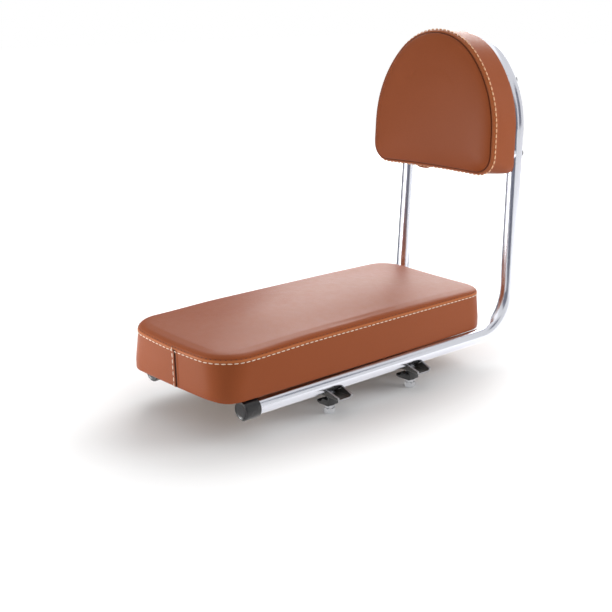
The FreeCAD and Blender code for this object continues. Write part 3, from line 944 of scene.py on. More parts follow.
@dataclass
class TubeFrame:
    """Bent tube: two rails that draw together to the front, two uprights and the arch between them."""

    radius: float = 8.0
    facets: int = 48
    rail_x: float = 81.0
    rail_z: float = 14.1013
    front_y: float = -164.6
    toe: float = math.tan(math.radians(1.32))
    dip: float = math.tan(math.radians(0.6))
    upright_y: float = 210.5
    back_height: float = 316.0
    bend_radius: float = 48.0
    lean: float = math.radians(2.0)
    draw: float = math.radians(1.1)
    side_radius: float = 110.0
    side_turn: float = math.radians(45.0)

    def rail_point(self, side: Side, y: float) -> np.ndarray:
        """Point on the centre line of a rail, in millimetres."""
        back = self.upright_y - y
        return np.array([side.value * (self.rail_x - back * self.toe), y, self.rail_z - back * self.dip])

    def heading(self, side: Side) -> Vector:
        """Direction of a rail towards the rear."""
        return Vector((side.value * self.toe, 1.0, self.dip)).normalized()

    def place(self) -> Matrix:
        """Matrix from the plane of the back (across, up, forward) to the row frame, in metres."""
        s, c = math.sin(self.lean), math.cos(self.lean)
        return Matrix(((1, 0, 0, 0), (0, s, -c, self.upright_y * MM),
                       (0, c, s, self.rail_z * MM), (0, 0, 0, 1)))

    def arch_rise(self) -> float:
        """Height above the rails at which the arch begins."""
        gain = self.side_radius * (math.sin(self.side_turn) - math.sin(self.draw))
        inward = self.side_radius * (math.cos(self.draw) - math.cos(self.side_turn))
        share = (1 - math.sin(self.side_turn)) / math.cos(self.side_turn)
        return (self.back_height - gain - share * (self.rail_x - inward)) / (1 - share * math.tan(self.draw))

    def hub(self) -> tuple[float, float]:
        """Centre of the side arc of the arch, in the plane of the back."""
        rise = self.arch_rise()
        start = self.rail_x - rise * math.tan(self.draw)
        return start - self.side_radius * math.cos(self.draw), rise - self.side_radius * math.sin(self.draw)

    def arch(self, offset: float) -> tuple[np.ndarray, np.ndarray]:
        """Arch of the tube, offset outward.

        Args:
            offset: distance outward from the centre line.

        Returns:
            The side arc on the left side and the top arc from left to right.
        """
        turn = math.degrees(self.side_turn)
        side = arc_line(self.hub(), self.side_radius + offset, math.degrees(self.draw), turn)
        end = side[-1]
        top_radius = end[0] / math.cos(self.side_turn)
        middle = (0.0, end[1] - top_radius * math.sin(self.side_turn))
        return side, arc_line(middle, top_radius, turn, 180 - turn)

    def flat_to_row(self, flat: np.ndarray, forward: float) -> np.ndarray:
        """Take points of the plane of the back into the row frame, in metres."""
        place = np.array(self.place())
        local = np.column_stack([flat, np.full(len(flat), forward)]) * MM
        return local @ place[:3, :3].T + place[:3, 3]

    def line(self) -> np.ndarray:
        """Centre line from the left rail end round to the right one, in metres."""
        side, top = self.arch(0.0)
        side_row = self.flat_to_row(side, 0.0)
        top_row = self.flat_to_row(top, 0.0)
        corner = self.rail_point(Side.LEFT, self.upright_y) * MM
        front = self.rail_point(Side.LEFT, self.front_y) * MM
        d1 = (corner - front) / np.linalg.norm(corner - front)
        d2 = (side_row[0] - corner) / np.linalg.norm(side_row[0] - corner)
        turn = math.acos(float(d1 @ d2))
        radius = self.bend_radius * MM
        inward = (d2 - d1) / np.linalg.norm(d2 - d1)
        centre = corner + inward * radius / math.cos(turn / 2)
        angles = np.linspace(0, turn, 25)[:, None]
        spoke = corner - d1 * radius * math.tan(turn / 2) - centre
        bend = centre + spoke * np.cos(angles) + d1 * radius * np.sin(angles)
        rail = np.linspace(front, bend[0], 40)
        post = np.linspace(bend[-1], side_row[0], 20)
        left = np.vstack([rail[:-1], bend[:-1], post[:-1], side_row])
        right = left[::-1] * np.array([-1, 1, 1])
        return np.vstack([left[:-1], top_row, right[1:]])

    def build(self, finishes: Finishes) -> None:
        """Sweep the tube along its line."""
        made = Trees.path("bent_tube", self.line(), closed=False)
        half = self.radius * MM
        Trees.run(Trees.bar(), made, {"Half Width": half, "Half Height": half, "Sides": self.facets,
                                      "Material": finishes.tube})
        Shop.outward(made)
        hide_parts("frame_tube")
        Shop.finish(made, Slot.TUBE)


@dataclass
class EndCaps:
    """Push-on caps at the front of the rails."""

    tube: TubeFrame
    inner: float = 8.3
    outer: float = 9.8
    length: float = 17.5
    end: float = 3.0
    rounding: float = 1.5
    facets: int = 64

    def profile(self) -> list[tuple[float, float]]:
        """Half section of a cap from the middle of its dished front to the middle of its bore."""
        rim = self.outer - self.rounding
        points = [(0.0, 0.75), (rim * 0.6, 0.7), (rim - 0.9, 0.55), (rim - 0.35, 0.1)]
        for deg in range(0, 91, 15):
            t = math.radians(deg)
            points.append((self.outer - self.rounding * (1 - math.sin(t)), self.rounding * (1 - math.cos(t))))
        back = self.length
        points += [(self.outer, 8.0), (self.outer, back - 0.9), (self.outer - 0.15, back - 0.3),
                   (self.outer - 0.45, back), (self.inner + 0.1, back), (self.inner, back - 0.4),
                   (self.inner, self.end), (0.0, self.end)]
        return points

    def build(self, finishes: Finishes) -> None:
        """Turn a cap for each rail."""
        for side in Side:
            name = side.name.lower()
            heading = self.tube.heading(side)
            start = (Vector(self.tube.rail_point(side, self.tube.front_y)) - heading * self.end) * MM
            place = Matrix.Translation(start) @ heading.to_track_quat("Z", "Y").to_matrix().to_4x4()
            made = Shop.lathe("rail_cap_" + name, self.profile(), self.facets, place, finishes.cap)
            made.data.set_sharp_from_angle(angle=math.radians(50))
            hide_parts("end_cap_" + name)
            Shop.finish(made, Slot.CAP)


# Cushions


@dataclass
class Cushion:
    """Boxed cushion in its own flat frame above its back: hem, band, stitched strip and crowned top.

    Places on its section are lengths from the top edge of the band, with plus up the rolled top.
    """

    name: str
    tube: TubeFrame
    band: float = 36.0
    crown: float = 15.5
    roll: float = 34.0
    fullness: float = 2.5
    dome: float = 1.0
    gauge: float = 1.2
    board: float = 9.0
    hem: float = 20.0
    strip_from: float = 0.2
    strip_to: float = 2.5
    strip_rise: float = 0.5
    strip_ease: tuple[float, float] = (0.22, 0.28)
    groove_at: float = 3.3
    groove_depth: float = 0.2
    groove_half: float = 0.7
    # Share of painted shade in the seam groove.
    groove_shade: float = 0.1
    # Share of painted highlight over the strip, partly a lighter stretched tone.
    strip_highlight: float = 1.0
    stitch_at: float = -0.45
    droop: float = 0.0
    droop_steps: float = 2.4
    fall_height: float = 6.0
    fall_inset: float = 5.0
    swell_cap: float = 2.2
    pressure: float = 2.0
    swell_frames: int = 20
    settle: int = 30
    settle_share: float = 0.6
    across: int = 26
    along: int = 72
    stitch_pitch: float = 6.0
    stitch_length: float = 4.6
    stitch_width: float = 1.0
    stitch_belly: float = 0.35
    stitch_flat: float = 0.8
    needle_size: tuple[float, float] = (1.9, 0.75)
    needle_share: float = 0.8
    wander: float = 0.05
    staple_pitch: float = 17.0
    staple_inset: float = 14.0
    nodes: tuple[str, ...] = ()

    def sides(self, inset: float, share: float) -> list[np.ndarray]:
        """Outline in four runs from one corner to the next, drawn in by an inset.

        Args:
            inset: distance inward.
            share: 0 at the base, where the corners are tighter, and 1 at the seam.
        """
        raise NotImplementedError

    def place(self) -> Matrix:
        """Matrix from the flat frame of the cushion to the row frame, in metres."""
        raise NotImplementedError

    def thread(self, finishes: Finishes) -> Material:
        """Thread of the visible stitches."""
        return finishes.thread

    def share(self, height: float) -> float:
        """Place between the top of the board and the seam."""
        floor = self.gauge + self.board
        return min(1.0, max(0.0, (height - floor) / (self.band - floor)))

    def outline(self, inset: float, height: float, across: int, along: int) -> np.ndarray:
        """Closed ring of points on the outline.

        Args:
            inset: distance inward from the outline.
            height: height of the ring, which sets its corners.
            across: steps on the front run and on the rear run.
            along: steps on each side run.

        Returns:
            The points without a repeated end.
        """
        runs = []
        for run, count in zip(self.sides(inset, self.share(height)), (across, along, across, along)):
            runs.append(resampled(run, np.linspace(0, 1, count + 1))[:-1])
        return np.vstack(runs)

    def profile(self) -> tuple[np.ndarray, np.ndarray]:
        """Section of band and top as insets and heights, and the place of each point."""
        t = np.radians(np.linspace(0, 90, 400))
        power = 2 / self.fullness
        inset = self.roll * (1 - np.clip(np.cos(t), 0, 1) ** power)
        rise = self.crown * np.sin(t) ** power
        line = np.vstack([[0.0, 0.0], np.stack([inset, self.band + rise], 1)])
        steps = np.linalg.norm(np.diff(line, axis=0), axis=1)
        return line, np.concatenate([[0.0], np.cumsum(steps)]) - self.band

    def section(self, at: np.ndarray) -> np.ndarray:
        """Inset, height and outward direction (inset part, height part) at places of the section."""
        line, reach = self.profile()
        spot, ahead, behind = (np.stack([np.interp(at + gap, reach, line[:, k]) for k in (0, 1)], 1)
                               for gap in (0.0, 0.2, -0.2))
        run = (ahead - behind) / np.linalg.norm(ahead - behind, axis=1)[:, None]
        return np.column_stack([spot, -run[:, 1], run[:, 0]])

    def strip(self, at: np.ndarray) -> np.ndarray:
        """How far a place belongs to the raised strip beside the groove, from 0 to 1."""
        low, high = self.strip_ease
        return 1 / (1 + np.exp((self.strip_from - at) / low)) / (1 + np.exp((at - self.strip_to) / high))

    def groove(self, at: np.ndarray) -> np.ndarray:
        """How deep a place lies in the groove of the seam, from 0 to 1."""
        return np.exp(-((at - self.groove_at) / self.groove_half) ** 2)

    def relief(self, at: np.ndarray) -> np.ndarray:
        """Rise of the surface over its section at a place."""
        return self.strip_rise * self.strip(at) - self.groove_depth * self.groove(at)

    def rings(self) -> np.ndarray:
        """Inset, height, hold, sharpness, painted groove shade and painted strip highlight of each ring, from
        the board to the top.
        """
        ceiling = self.gauge + self.board + 1.8
        low = np.array([(1.35, ceiling, 1.0), (1.35, self.gauge, 1.0), (self.hem - 0.2, self.gauge, 0.7),
                        (self.hem, self.gauge / 2, 0.0), (self.hem - 0.4, 0.0, 0.4), (14.0, 0.0, 0.0),
                        (8.0, 0.0, 0.0), (3.2, 0.0, 0.0), (1.0, 0.25, 0.3), (0.2, 1.2, 0.3), (0.0, 3.0, 0.0)])
        low = np.column_stack([low[:, :2], np.ones(len(low)), low[:, 2], np.zeros((len(low), 2))])
        a, b, g = self.strip_from, self.strip_to, self.groove_at
        seam = np.array([a - 2.4, a - 1.1, a - 0.5, a, a + 0.6, (a + b) / 2, b - 0.7, g - 1.2, g - 0.65,
                         g - 0.3, g, g + 0.3, g + 0.65, g + 1.3, g + 2.6])
        at = np.concatenate([np.linspace(6.5 - self.band, seam[0] - 3.0, 7), seam,
                             np.linspace(seam[-1] + 2.8, self.profile()[1][-1], 9)])
        spot, rise = self.section(at), self.relief(at)
        hold = ((at > seam[0] - 0.1) & (at < seam[-1] + 0.1)).astype(float)
        high = np.column_stack([spot[:, 0] + spot[:, 2] * rise, spot[:, 1] + spot[:, 3] * rise, hold, 0 * at,
                                self.groove(at) * self.groove_shade, self.strip(at) * self.strip_highlight])
        return np.vstack([low, high])

    def grid(self, ring: np.ndarray, height: float, dome: float) -> tuple[np.ndarray, np.ndarray]:
        """Fill a ring with a grid of points.

        Args:
            ring: flat points of the ring.
            height: height of the ring.
            dome: rise of the middle over the ring.

        Returns:
            The points inside the ring and a table of their place on the grid.
        """
        na, nb = self.across, self.along
        front, left = ring[:na + 1], ring[na:na + nb + 1]
        rear = ring[na + nb:2 * na + nb + 1][::-1]
        right = np.vstack([ring[2 * na + nb:], ring[:1]])[::-1]
        inside = []
        for j in range(1, nb):
            t = j / nb
            for i in range(1, na):
                s = i / na
                spot = ((1 - t) * front[i] + t * rear[i] + (1 - s) * right[j] + s * left[j]
                        - (1 - s) * (1 - t) * front[0] - s * (1 - t) * front[na]
                        - (1 - s) * t * rear[0] - s * t * rear[na])
                rise = dome * (1 - (2 * s - 1) ** 2) ** 2 * (1 - (2 * t - 1) ** 4) ** 2
                inside.append((spot[0], spot[1], height + rise))
        table = np.zeros((na + 1, nb + 1), int)
        count = 2 * (na + nb)
        for i in range(na + 1):
            table[i, 0] = i
            table[i, nb] = 2 * na + nb - i
        for j in range(nb + 1):
            table[na, j] = na + j
            table[0, j] = (count - j) % count
        return np.array(inside), table

    def sag(self) -> np.ndarray:
        """How far the lower edge hangs at each point of a ring, most at the four corners."""
        count = 2 * (self.across + self.along)
        steps = np.arange(count)
        hang = np.zeros(count)
        for corner in (0, self.across, self.across + self.along, 2 * self.across + self.along):
            away = np.minimum((steps - corner) % count, (corner - steps) % count)
            hang = np.maximum(hang, np.exp(-(away / self.droop_steps) ** 2))
        return self.droop * hang

    def hang(self) -> np.ndarray:
        """How far the lower edge hangs at each point of a ring."""
        return self.sag()

    def shaped(self, points: np.ndarray) -> np.ndarray:
        """Last change to the points of the shell before it swells."""
        return points

    def shell(self, finishes: Finishes) -> tuple[Object, np.ndarray]:
        """Closed mesh of the cushion before it swells, in its flat frame.

        Returns:
            The object and the hold of each point.
        """
        rings = self.rings()
        count = 2 * (self.across + self.along)
        flat = [self.outline(row[0], row[1], self.across, self.along) for row in rings]
        points = []
        for ring, row in zip(flat, rings):
            inset, height = max(row[0], 0.0) / self.fall_inset, row[1] / self.fall_height
            fall = self.hang() * math.exp(-height ** 2) * math.exp(-inset ** 2)
            points.append(np.column_stack([ring, row[1] - fall]))
        marks = [np.tile(row[[2, 4, 5]], (count, 1)) for row in rings]
        faces = Shop.ring_faces(len(rings), count)
        for row, dome, hold in ((0, 0.0, 1.0), (len(rings) - 1, self.dome, 0.0)):
            inside, table = self.grid(flat[row], rings[row][1], dome)
            number = table + row * count
            inner = np.arange(len(inside)).reshape(self.along - 1, self.across - 1).T
            number[1:-1, 1:-1] = sum(map(len, points)) + inner
            points.append(inside)
            marks.append(np.tile((hold, 0.0, 0.0), (len(inside), 1)))
            for i in range(self.across):
                for j in range(self.along):
                    faces.append((number[i, j], number[i + 1, j], number[i + 1, j + 1], number[i, j + 1]))
        spots = self.shaped(np.vstack(points)) * MM
        corners = [tuple(map(int, face)) for face in faces]
        made = Shop.piece(self.name, spots, corners, finishes.leather)
        marks = np.vstack(marks)
        # The groove and strip attributes carry the painted seam shade and the painted strip highlight.
        for name, column in (("groove", 1), ("strip", 2)):
            Shop.mark(made, name, marks[:, column])
        sharp = made.data.attributes.new("crease_edge", "FLOAT", "EDGE")
        values = np.zeros(len(made.data.edges), np.float32)
        for number, edge in enumerate(made.data.edges):
            a, b = edge.vertices
            if max(a, b) < len(rings) * count and a // count == b // count:
                values[number] = rings[a // count][3]
        sharp.data.foreach_set("value", values)
        Shop.outward(made, merge=False)
        return made, marks[:, 0]

    def swell(self, made: Object, hold: np.ndarray) -> None:
        """Let the cover swell over its filling as cloth under pressure, held at hem and seam.

        Args:
            made: the shell.
            hold: 1 for each point that is held.
        """
        rest = np.array([v.co for v in made.data.vertices])
        group = made.vertex_groups.new(name="held")
        group.add([int(i) for i in np.nonzero(hold > 0.5)[0]], 1.0, "REPLACE")
        cloth = made.modifiers.new("swell", "CLOTH")
        cloth.settings.quality = 5
        cloth.settings.mass = 0.3
        cloth.settings.tension_stiffness = 15
        cloth.settings.compression_stiffness = 15
        cloth.settings.shear_stiffness = 5
        cloth.settings.bending_stiffness = 0.8
        cloth.settings.vertex_group_mass = "held"
        cloth.settings.use_pressure = True
        cloth.settings.uniform_pressure_force = self.pressure
        cloth.settings.effector_weights.gravity = 0.0
        cloth.collision_settings.use_collision = False
        scene = bpy.context.scene
        for step in range(1, self.swell_frames + 1):
            scene.frame_set(step)
        graph = bpy.context.evaluated_depsgraph_get()
        shift = np.array([v.co for v in made.evaluated_get(graph).data.vertices]) - rest
        made.modifiers.clear()
        made.vertex_groups.clear()
        scene.frame_set(1)
        size = np.linalg.norm(shift, axis=1)
        cap = self.swell_cap * MM
        share = cap * np.tanh(size / cap) / np.maximum(size, 1e-12)
        shift = self.settled(made, shift * share[:, None], hold)
        made.data.vertices.foreach_set("co", (rest + shift).astype(np.float32).ravel())
        made.data.update()
        log.info("%s swelled by up to %.2f mm, kept %.2f mm", self.name, size.max() / MM,
                 np.linalg.norm(shift, axis=1).max() / MM)

    def settled(self, made: Object, shift: np.ndarray, hold: np.ndarray) -> np.ndarray:
        """Even out the swelling between neighbours, so that the cover lies without wrinkles."""
        ends = np.array([edge.vertices[:] for edge in made.data.edges])
        degree = np.bincount(ends.ravel(), minlength=len(shift))[:, None]
        free = (hold < 0.5)[:, None]
        for _ in range(self.settle):
            total = np.zeros_like(shift)
            np.add.at(total, ends[:, 0], shift[ends[:, 1]])
            np.add.at(total, ends[:, 1], shift[ends[:, 0]])
            mean = self.settle_share * total / degree
            shift = np.where(free, (1 - self.settle_share) * shift + mean, 0.0)
        return shift

    def loop(self, at: float, lift: float, step: float) -> tuple[np.ndarray, np.ndarray]:
        """Closed path round the cushion at a place of its section.

        Args:
            at: the place.
            lift: distance off the surface.
            step: rough spacing of the points.

        Returns:
            Points in metres and their facings.
        """
        spot = np.array([at])
        inset, height, inward, upward = self.section(spot)[0]
        lift += float(self.relief(spot)[0])
        ring = self.outline(inset + inward * lift, height, max(8, int(150 / step)), max(8, int(250 / step)))
        ahead = np.roll(ring, -1, 0) - np.roll(ring, 1, 0)
        ahead /= np.linalg.norm(ahead, axis=1)[:, None]
        outward = np.stack([ahead[:, 1], -ahead[:, 0]], 1)
        points = self.shaped(np.column_stack([ring, np.full(len(ring), height + upward * lift)])) * MM
        return points, np.column_stack([outward * -inward, np.full(len(ring), upward)])

    def stitch(self, length: float, width: float) -> Object:
        """One stitch that lies along x, thicker in the middle."""
        bm = bmesh.new()
        bmesh.ops.create_uvsphere(bm, u_segments=8, v_segments=6, radius=0.5)
        bmesh.ops.rotate(bm, verts=bm.verts, matrix=Matrix.Rotation(math.pi / 2, 3, "Y"))
        for vert in bm.verts:
            share = abs(vert.co.x) * 2
            full = width * (1 + self.stitch_belly * (1 - share) * share)
            vert.co = Vector((vert.co.x * length, vert.co.y * full, vert.co.z * self.stitch_flat * full)) * MM
        return Shop.loose("stitch", bm)

    def sewn(self, name: str, path: Object, piece: Object, pitch: float,
             material: Material, seed: Seed) -> Object:
        """Set out a loose piece along a path and take the piece away.

        Args:
            name: name of the row.
            path: line of edges with facings.
            piece: the loose piece.
            pitch: spacing in millimetres.
            material: finish of the row.
            seed: seed of the small turns.

        Returns:
            The finished row.
        """
        path.name = path.data.name = self.name + "_" + name
        spots = np.array([v.co for v in path.data.vertices])
        ends = np.array([edge.vertices[:] for edge in path.data.edges])
        length = float(np.linalg.norm(spots[ends[:, 0]] - spots[ends[:, 1]], axis=1).sum())
        count = round(length / (pitch * MM))
        Trees.run(Trees.row(), path, {"Count": count, "Piece": piece, "Wander": self.wander,
                                      "Seed": seed.value, "Material": material})
        bpy.data.objects.remove(piece)
        return path

    def stitches(self, finishes: Finishes) -> Object:
        """Row of visible stitches along the strip."""
        points, facing = self.loop(self.stitch_at, 0.3, 2.0)
        path = Trees.path("row", points, True, facing)
        one = self.stitch(self.stitch_length, self.stitch_width)
        return self.sewn("stitches", path, one, self.stitch_pitch, self.thread(finishes), Seed.STITCHES)

    def needle_row(self, finishes: Finishes) -> Object:
        """Dark stitches in the groove between the panels, whose dark colour paints the shade in the needle
        holes.
        """
        points, facing = self.loop(self.groove_at, 0.05, 2.0)
        path = Trees.path("row", points, True, facing)
        one = self.stitch(*self.needle_size)
        pitch = self.stitch_pitch * self.needle_share
        return self.sewn("needle_row", path, one, pitch, finishes.dark_thread, Seed.NEEDLE_ROW)

    def staple(self) -> Object:
        """One staple that lies along x with its ends bent down into the hem."""
        half, wide, thick, sink = 4.6, 0.6, 0.35, -0.9
        line = [(-half, sink), (-half + 0.05, thick * 0.6), (-half + 0.7, thick), (half - 0.7, thick),
                (half - 0.05, thick * 0.6), (half, sink)]
        points = []
        for x, z in line:
            points += [(x, -wide, z), (x, wide, z), (x * 0.94, wide, z - 0.5), (x * 0.94, -wide, z - 0.5)]
        faces = Shop.ring_faces(len(line), 4)
        faces += [(0, 1, 2, 3), tuple(range(4 * len(line) - 4, 4 * len(line)))]
        made = Shop.piece("staple", np.array(points) * MM, faces)
        Shop.outward(made, smooth=False)
        return made

    def staples(self, finishes: Finishes) -> Object:
        """Row of staples that hold the hem on the board."""
        ring = self.outline(self.staple_inset, 0.0, 50, 80)
        points = np.column_stack([ring, np.zeros(len(ring))]) * MM
        path = Trees.path("row", points, True, np.tile((0.0, 0.0, -1.0), (len(points), 1)))
        return self.sewn("staples", path, self.staple(), self.staple_pitch, finishes.zinc, Seed.STAPLES)

    def trims(self, body: Object, finishes: Finishes) -> list[tuple[Object, Slot | None]]:
        """Pieces that lie on the cushion, with their slots."""
        return [(self.stitches(finishes), None), (self.needle_row(finishes), None),
                (self.staples(finishes), Slot.ZINC)]

    def build(self, finishes: Finishes) -> None:
        """Make the cushion, let it swell, then add its stitches and staples."""
        body, hold = self.shell(finishes)
        self.swell(body, hold)
        trims = self.trims(body, finishes)
        rounded = body.modifiers.new("rounded", "SUBSURF")
        rounded.levels = rounded.render_levels = 1
        Shop.plain(body)
        for made, slot in [(body, Slot.LEATHER), *trims]:
            made.data.transform(self.place())
            made.data.update()
            Shop.finish(made, slot)
        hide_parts(*self.nodes)


@dataclass
class SeatCushion(Cushion):
    """Long seat cushion with rounded corners and a sewn join at its front."""

    half_width: float = 78.0
    front: float = -194.5
    rear: float = 180.5
    front_corner: float = 32.0
    bow: float = 5.5
    bow_reach: float = 70.0
    base_bow: float = 0.3
    lead: float = 1.5
    rear_drop: float = 2.0
    drop_from: float = 40.0
    far_lift: float = 4.2
    firm_over: float = 4.0
    rear_lift: float = 1.8
    lift_from: float = 30.0
    lift_reach: float = 90.0
    side_hang: float = 2.5
    rail_gap: float = 0.7
    hang_share: float = 0.85
    hang_least: float = 0.75
    hang_from: float = 20.0
    hang_reach: float = 16.0
    rear_corner: float = 30.0
    base_tuck: float = 6.0
    least_corner: float = 10.0
    bottom: float = 22.8013
    join_x: float = 10.6
    join_left: float = 3.1
    join_start: float = 0.03
    join_lift: float = 1.1
    join_gap: float = 0.3
    gap_shade_run: tuple[float, float] = (-0.45, 1.5)
    gap_shade_over: float = -0.3
    join_section: tuple[tuple[float, float], ...] = (
        (-6.4, -0.5), (-5.4, 0.0), (-4.4, 0.4), (-3.4, 0.7), (-2.3, 0.95), (-1.4, 1.1), (-0.8, 1.1),
        (-0.4, 0.85), (-0.2, 0.4), (-0.1, 0.06), (0.6, 0.03), (1.4, 0.06), (1.55, 0.32), (2.0, 0.5),
        (2.8, 0.4), (3.8, 0.1), (4.8, -0.5), (4.8, -1.6), (-6.4, -1.6))

    def sides(self, inset: float, share: float) -> list[np.ndarray]:
        """Outline in four runs from the middle of one corner to the next."""
        x, low, high = self.half_width - inset, self.front + inset, self.rear - inset
        tuck = self.base_tuck * (1 - share) + inset
        f = max(self.front_corner - tuck, self.least_corner)
        r = max(self.rear_corner - tuck, self.least_corner)
        fr, fl = (-x + f, low + f), (x - f, low + f)
        rl, rr = (x - r, high - r), (-x + r, high - r)
        runs = [np.vstack([arc_line(fr, f, 225, 270), arc_line(fl, f, 270, 315)]),
                np.vstack([arc_line(fl, f, 315, 360), arc_line(rl, r, 0, 45)]),
                np.vstack([arc_line(rl, r, 45, 90), arc_line(rr, r, 90, 135)]),
                np.vstack([arc_line(rr, r, 135, 180), arc_line(fr, f, 180, 225)])]
        return [self.bowed(resampled(run, np.linspace(0, 1, 90)), share) for run in runs]

    def bowed(self, run: np.ndarray, share: float) -> np.ndarray:
        """Draw the front corners back, so that the front stands out between them, least at the board."""
        near = 1 - (run[:, 1] - self.front) / self.bow_reach
        weight = ramp(near) * (self.base_bow + (1 - self.base_bow) * share)
        shift = weight * (self.bow * (run[:, 0] / self.half_width) ** 2 - self.lead)
        return run + np.column_stack([0 * shift, shift])

    def shaped(self, points: np.ndarray) -> np.ndarray:
        """Raise the filling at the right side and behind the front corners, and lower its top to the rear."""
        rise = np.clip((points[:, 2] - self.band) / self.crown, 0, None)
        back = np.clip((points[:, 1] - self.drop_from) / (self.rear - self.drop_from), 0, 1)
        firm = self.board + self.firm_over
        over = np.clip((points[:, 2] - firm) / (self.band - firm), 0, 1)
        right = np.clip(0.5 - points[:, 0] / (2 * self.half_width), 0, 1)
        behind = ramp((points[:, 1] - self.front - self.lift_from) / self.lift_reach)
        lift = over * (self.far_lift * right ** 2 + self.rear_lift * behind)
        lift -= self.rear_drop * rise ** 2 * back ** 2
        return points + np.outer(lift, (0, 0, 1))

    def place(self) -> Matrix:
        """The flat frame lies level at the underside of the cushion."""
        return Matrix.Translation((0, 0, self.bottom * MM))

    def hang(self) -> np.ndarray:
        """The long sides hang towards the rails, which dip to the front, and the corners hang a little."""
        ring = self.outline(0.0, 0.0, self.across, self.along)
        gap = (self.tube.upright_y - ring[:, 1]) * self.tube.dip + self.rail_gap
        beside = ramp((np.abs(ring[:, 0]) - self.half_width + self.hang_from) / self.hang_reach)
        hang = np.minimum(self.hang_share * gap + self.hang_least, self.side_hang)
        return np.maximum(self.sag(), beside * hang)

    def front_line(self, body: Object, start: float) -> tuple[np.ndarray, np.ndarray]:
        """Line up the front band at the join after swelling.

        Args:
            body: the cushion.
            start: share of the line that is left out at its foot.

        Returns:
            Depths and heights of its points in millimetres, and its directions there.
        """
        count = 2 * (self.across + self.along)
        rings = self.rings()
        front = self.outline(0.0, self.band, self.across, self.along)[:self.across + 1]
        column = int(np.abs(front[:, 0] - self.join_x).argmin())
        top = self.section(np.array([self.strip_to]))[0, 1] - 0.6
        rows = [k for k in range(9, len(rings)) if rings[k][1] <= top]
        line = np.array([body.data.vertices[row * count + column].co[1:3] for row in rows]) / MM
        line = resampled(line, np.linspace(start, 1, 44))
        run = np.gradient(line, axis=0)
        return line, run / np.linalg.norm(run, axis=1)[:, None]

    def join(self, body: Object, finishes: Finishes) -> Object:
        """Folded edge of the band where its ends meet, with painted shade in the gap beside it."""
        column, run = self.front_line(body, 0.0)
        low, high = self.gap_shade_run
        points, shade = [], []
        for (y, z), (dy, dz) in zip(column, run):
            for x, out in self.join_section:
                points.append((self.join_x + x, y - out * dz, z + out * dy))
                # Painted shade in the gap beside the fold, stored as the groove attribute.
                shade.append(1.0 if low <= x <= high and out > self.gap_shade_over else 0.0)
        wide = len(self.join_section)
        faces = Shop.ring_faces(len(column), wide)
        faces += [tuple(range(wide)), tuple(range((len(column) - 1) * wide, len(column) * wide))]
        made = Shop.piece(self.name + "_front_join", np.array(points) * MM, faces, finishes.leather)
        Shop.mark(made, "groove", np.array(shade))
        Shop.outward(made)
        return made

    def join_stitches(self, body: Object, finishes: Finishes) -> Object:
        """Upright row of stitches beside the front join."""
        column, run = self.front_line(body, self.join_start)
        out = np.stack([-run[:, 1], run[:, 0]], 1)
        across = np.full(len(column), self.join_x - self.join_left)
        points = np.column_stack([across, column + self.join_lift * out]) * MM
        path = Trees.path("row", points, False, np.column_stack([np.zeros(len(column)), out]))
        one = self.stitch(self.stitch_length, self.stitch_width)
        pitch = self.stitch_length + self.join_gap
        return self.sewn("join_stitches", path, one, pitch, finishes.thread, Seed.JOIN_STITCHES)

    def trims(self, body: Object, finishes: Finishes) -> list[tuple[Object, Slot | None]]:
        """Pieces that lie on the cushion, with the front join."""
        return super().trims(body, finishes) + [(self.join(body, finishes), Slot.LEATHER),
                                                (self.join_stitches(body, finishes), None)]


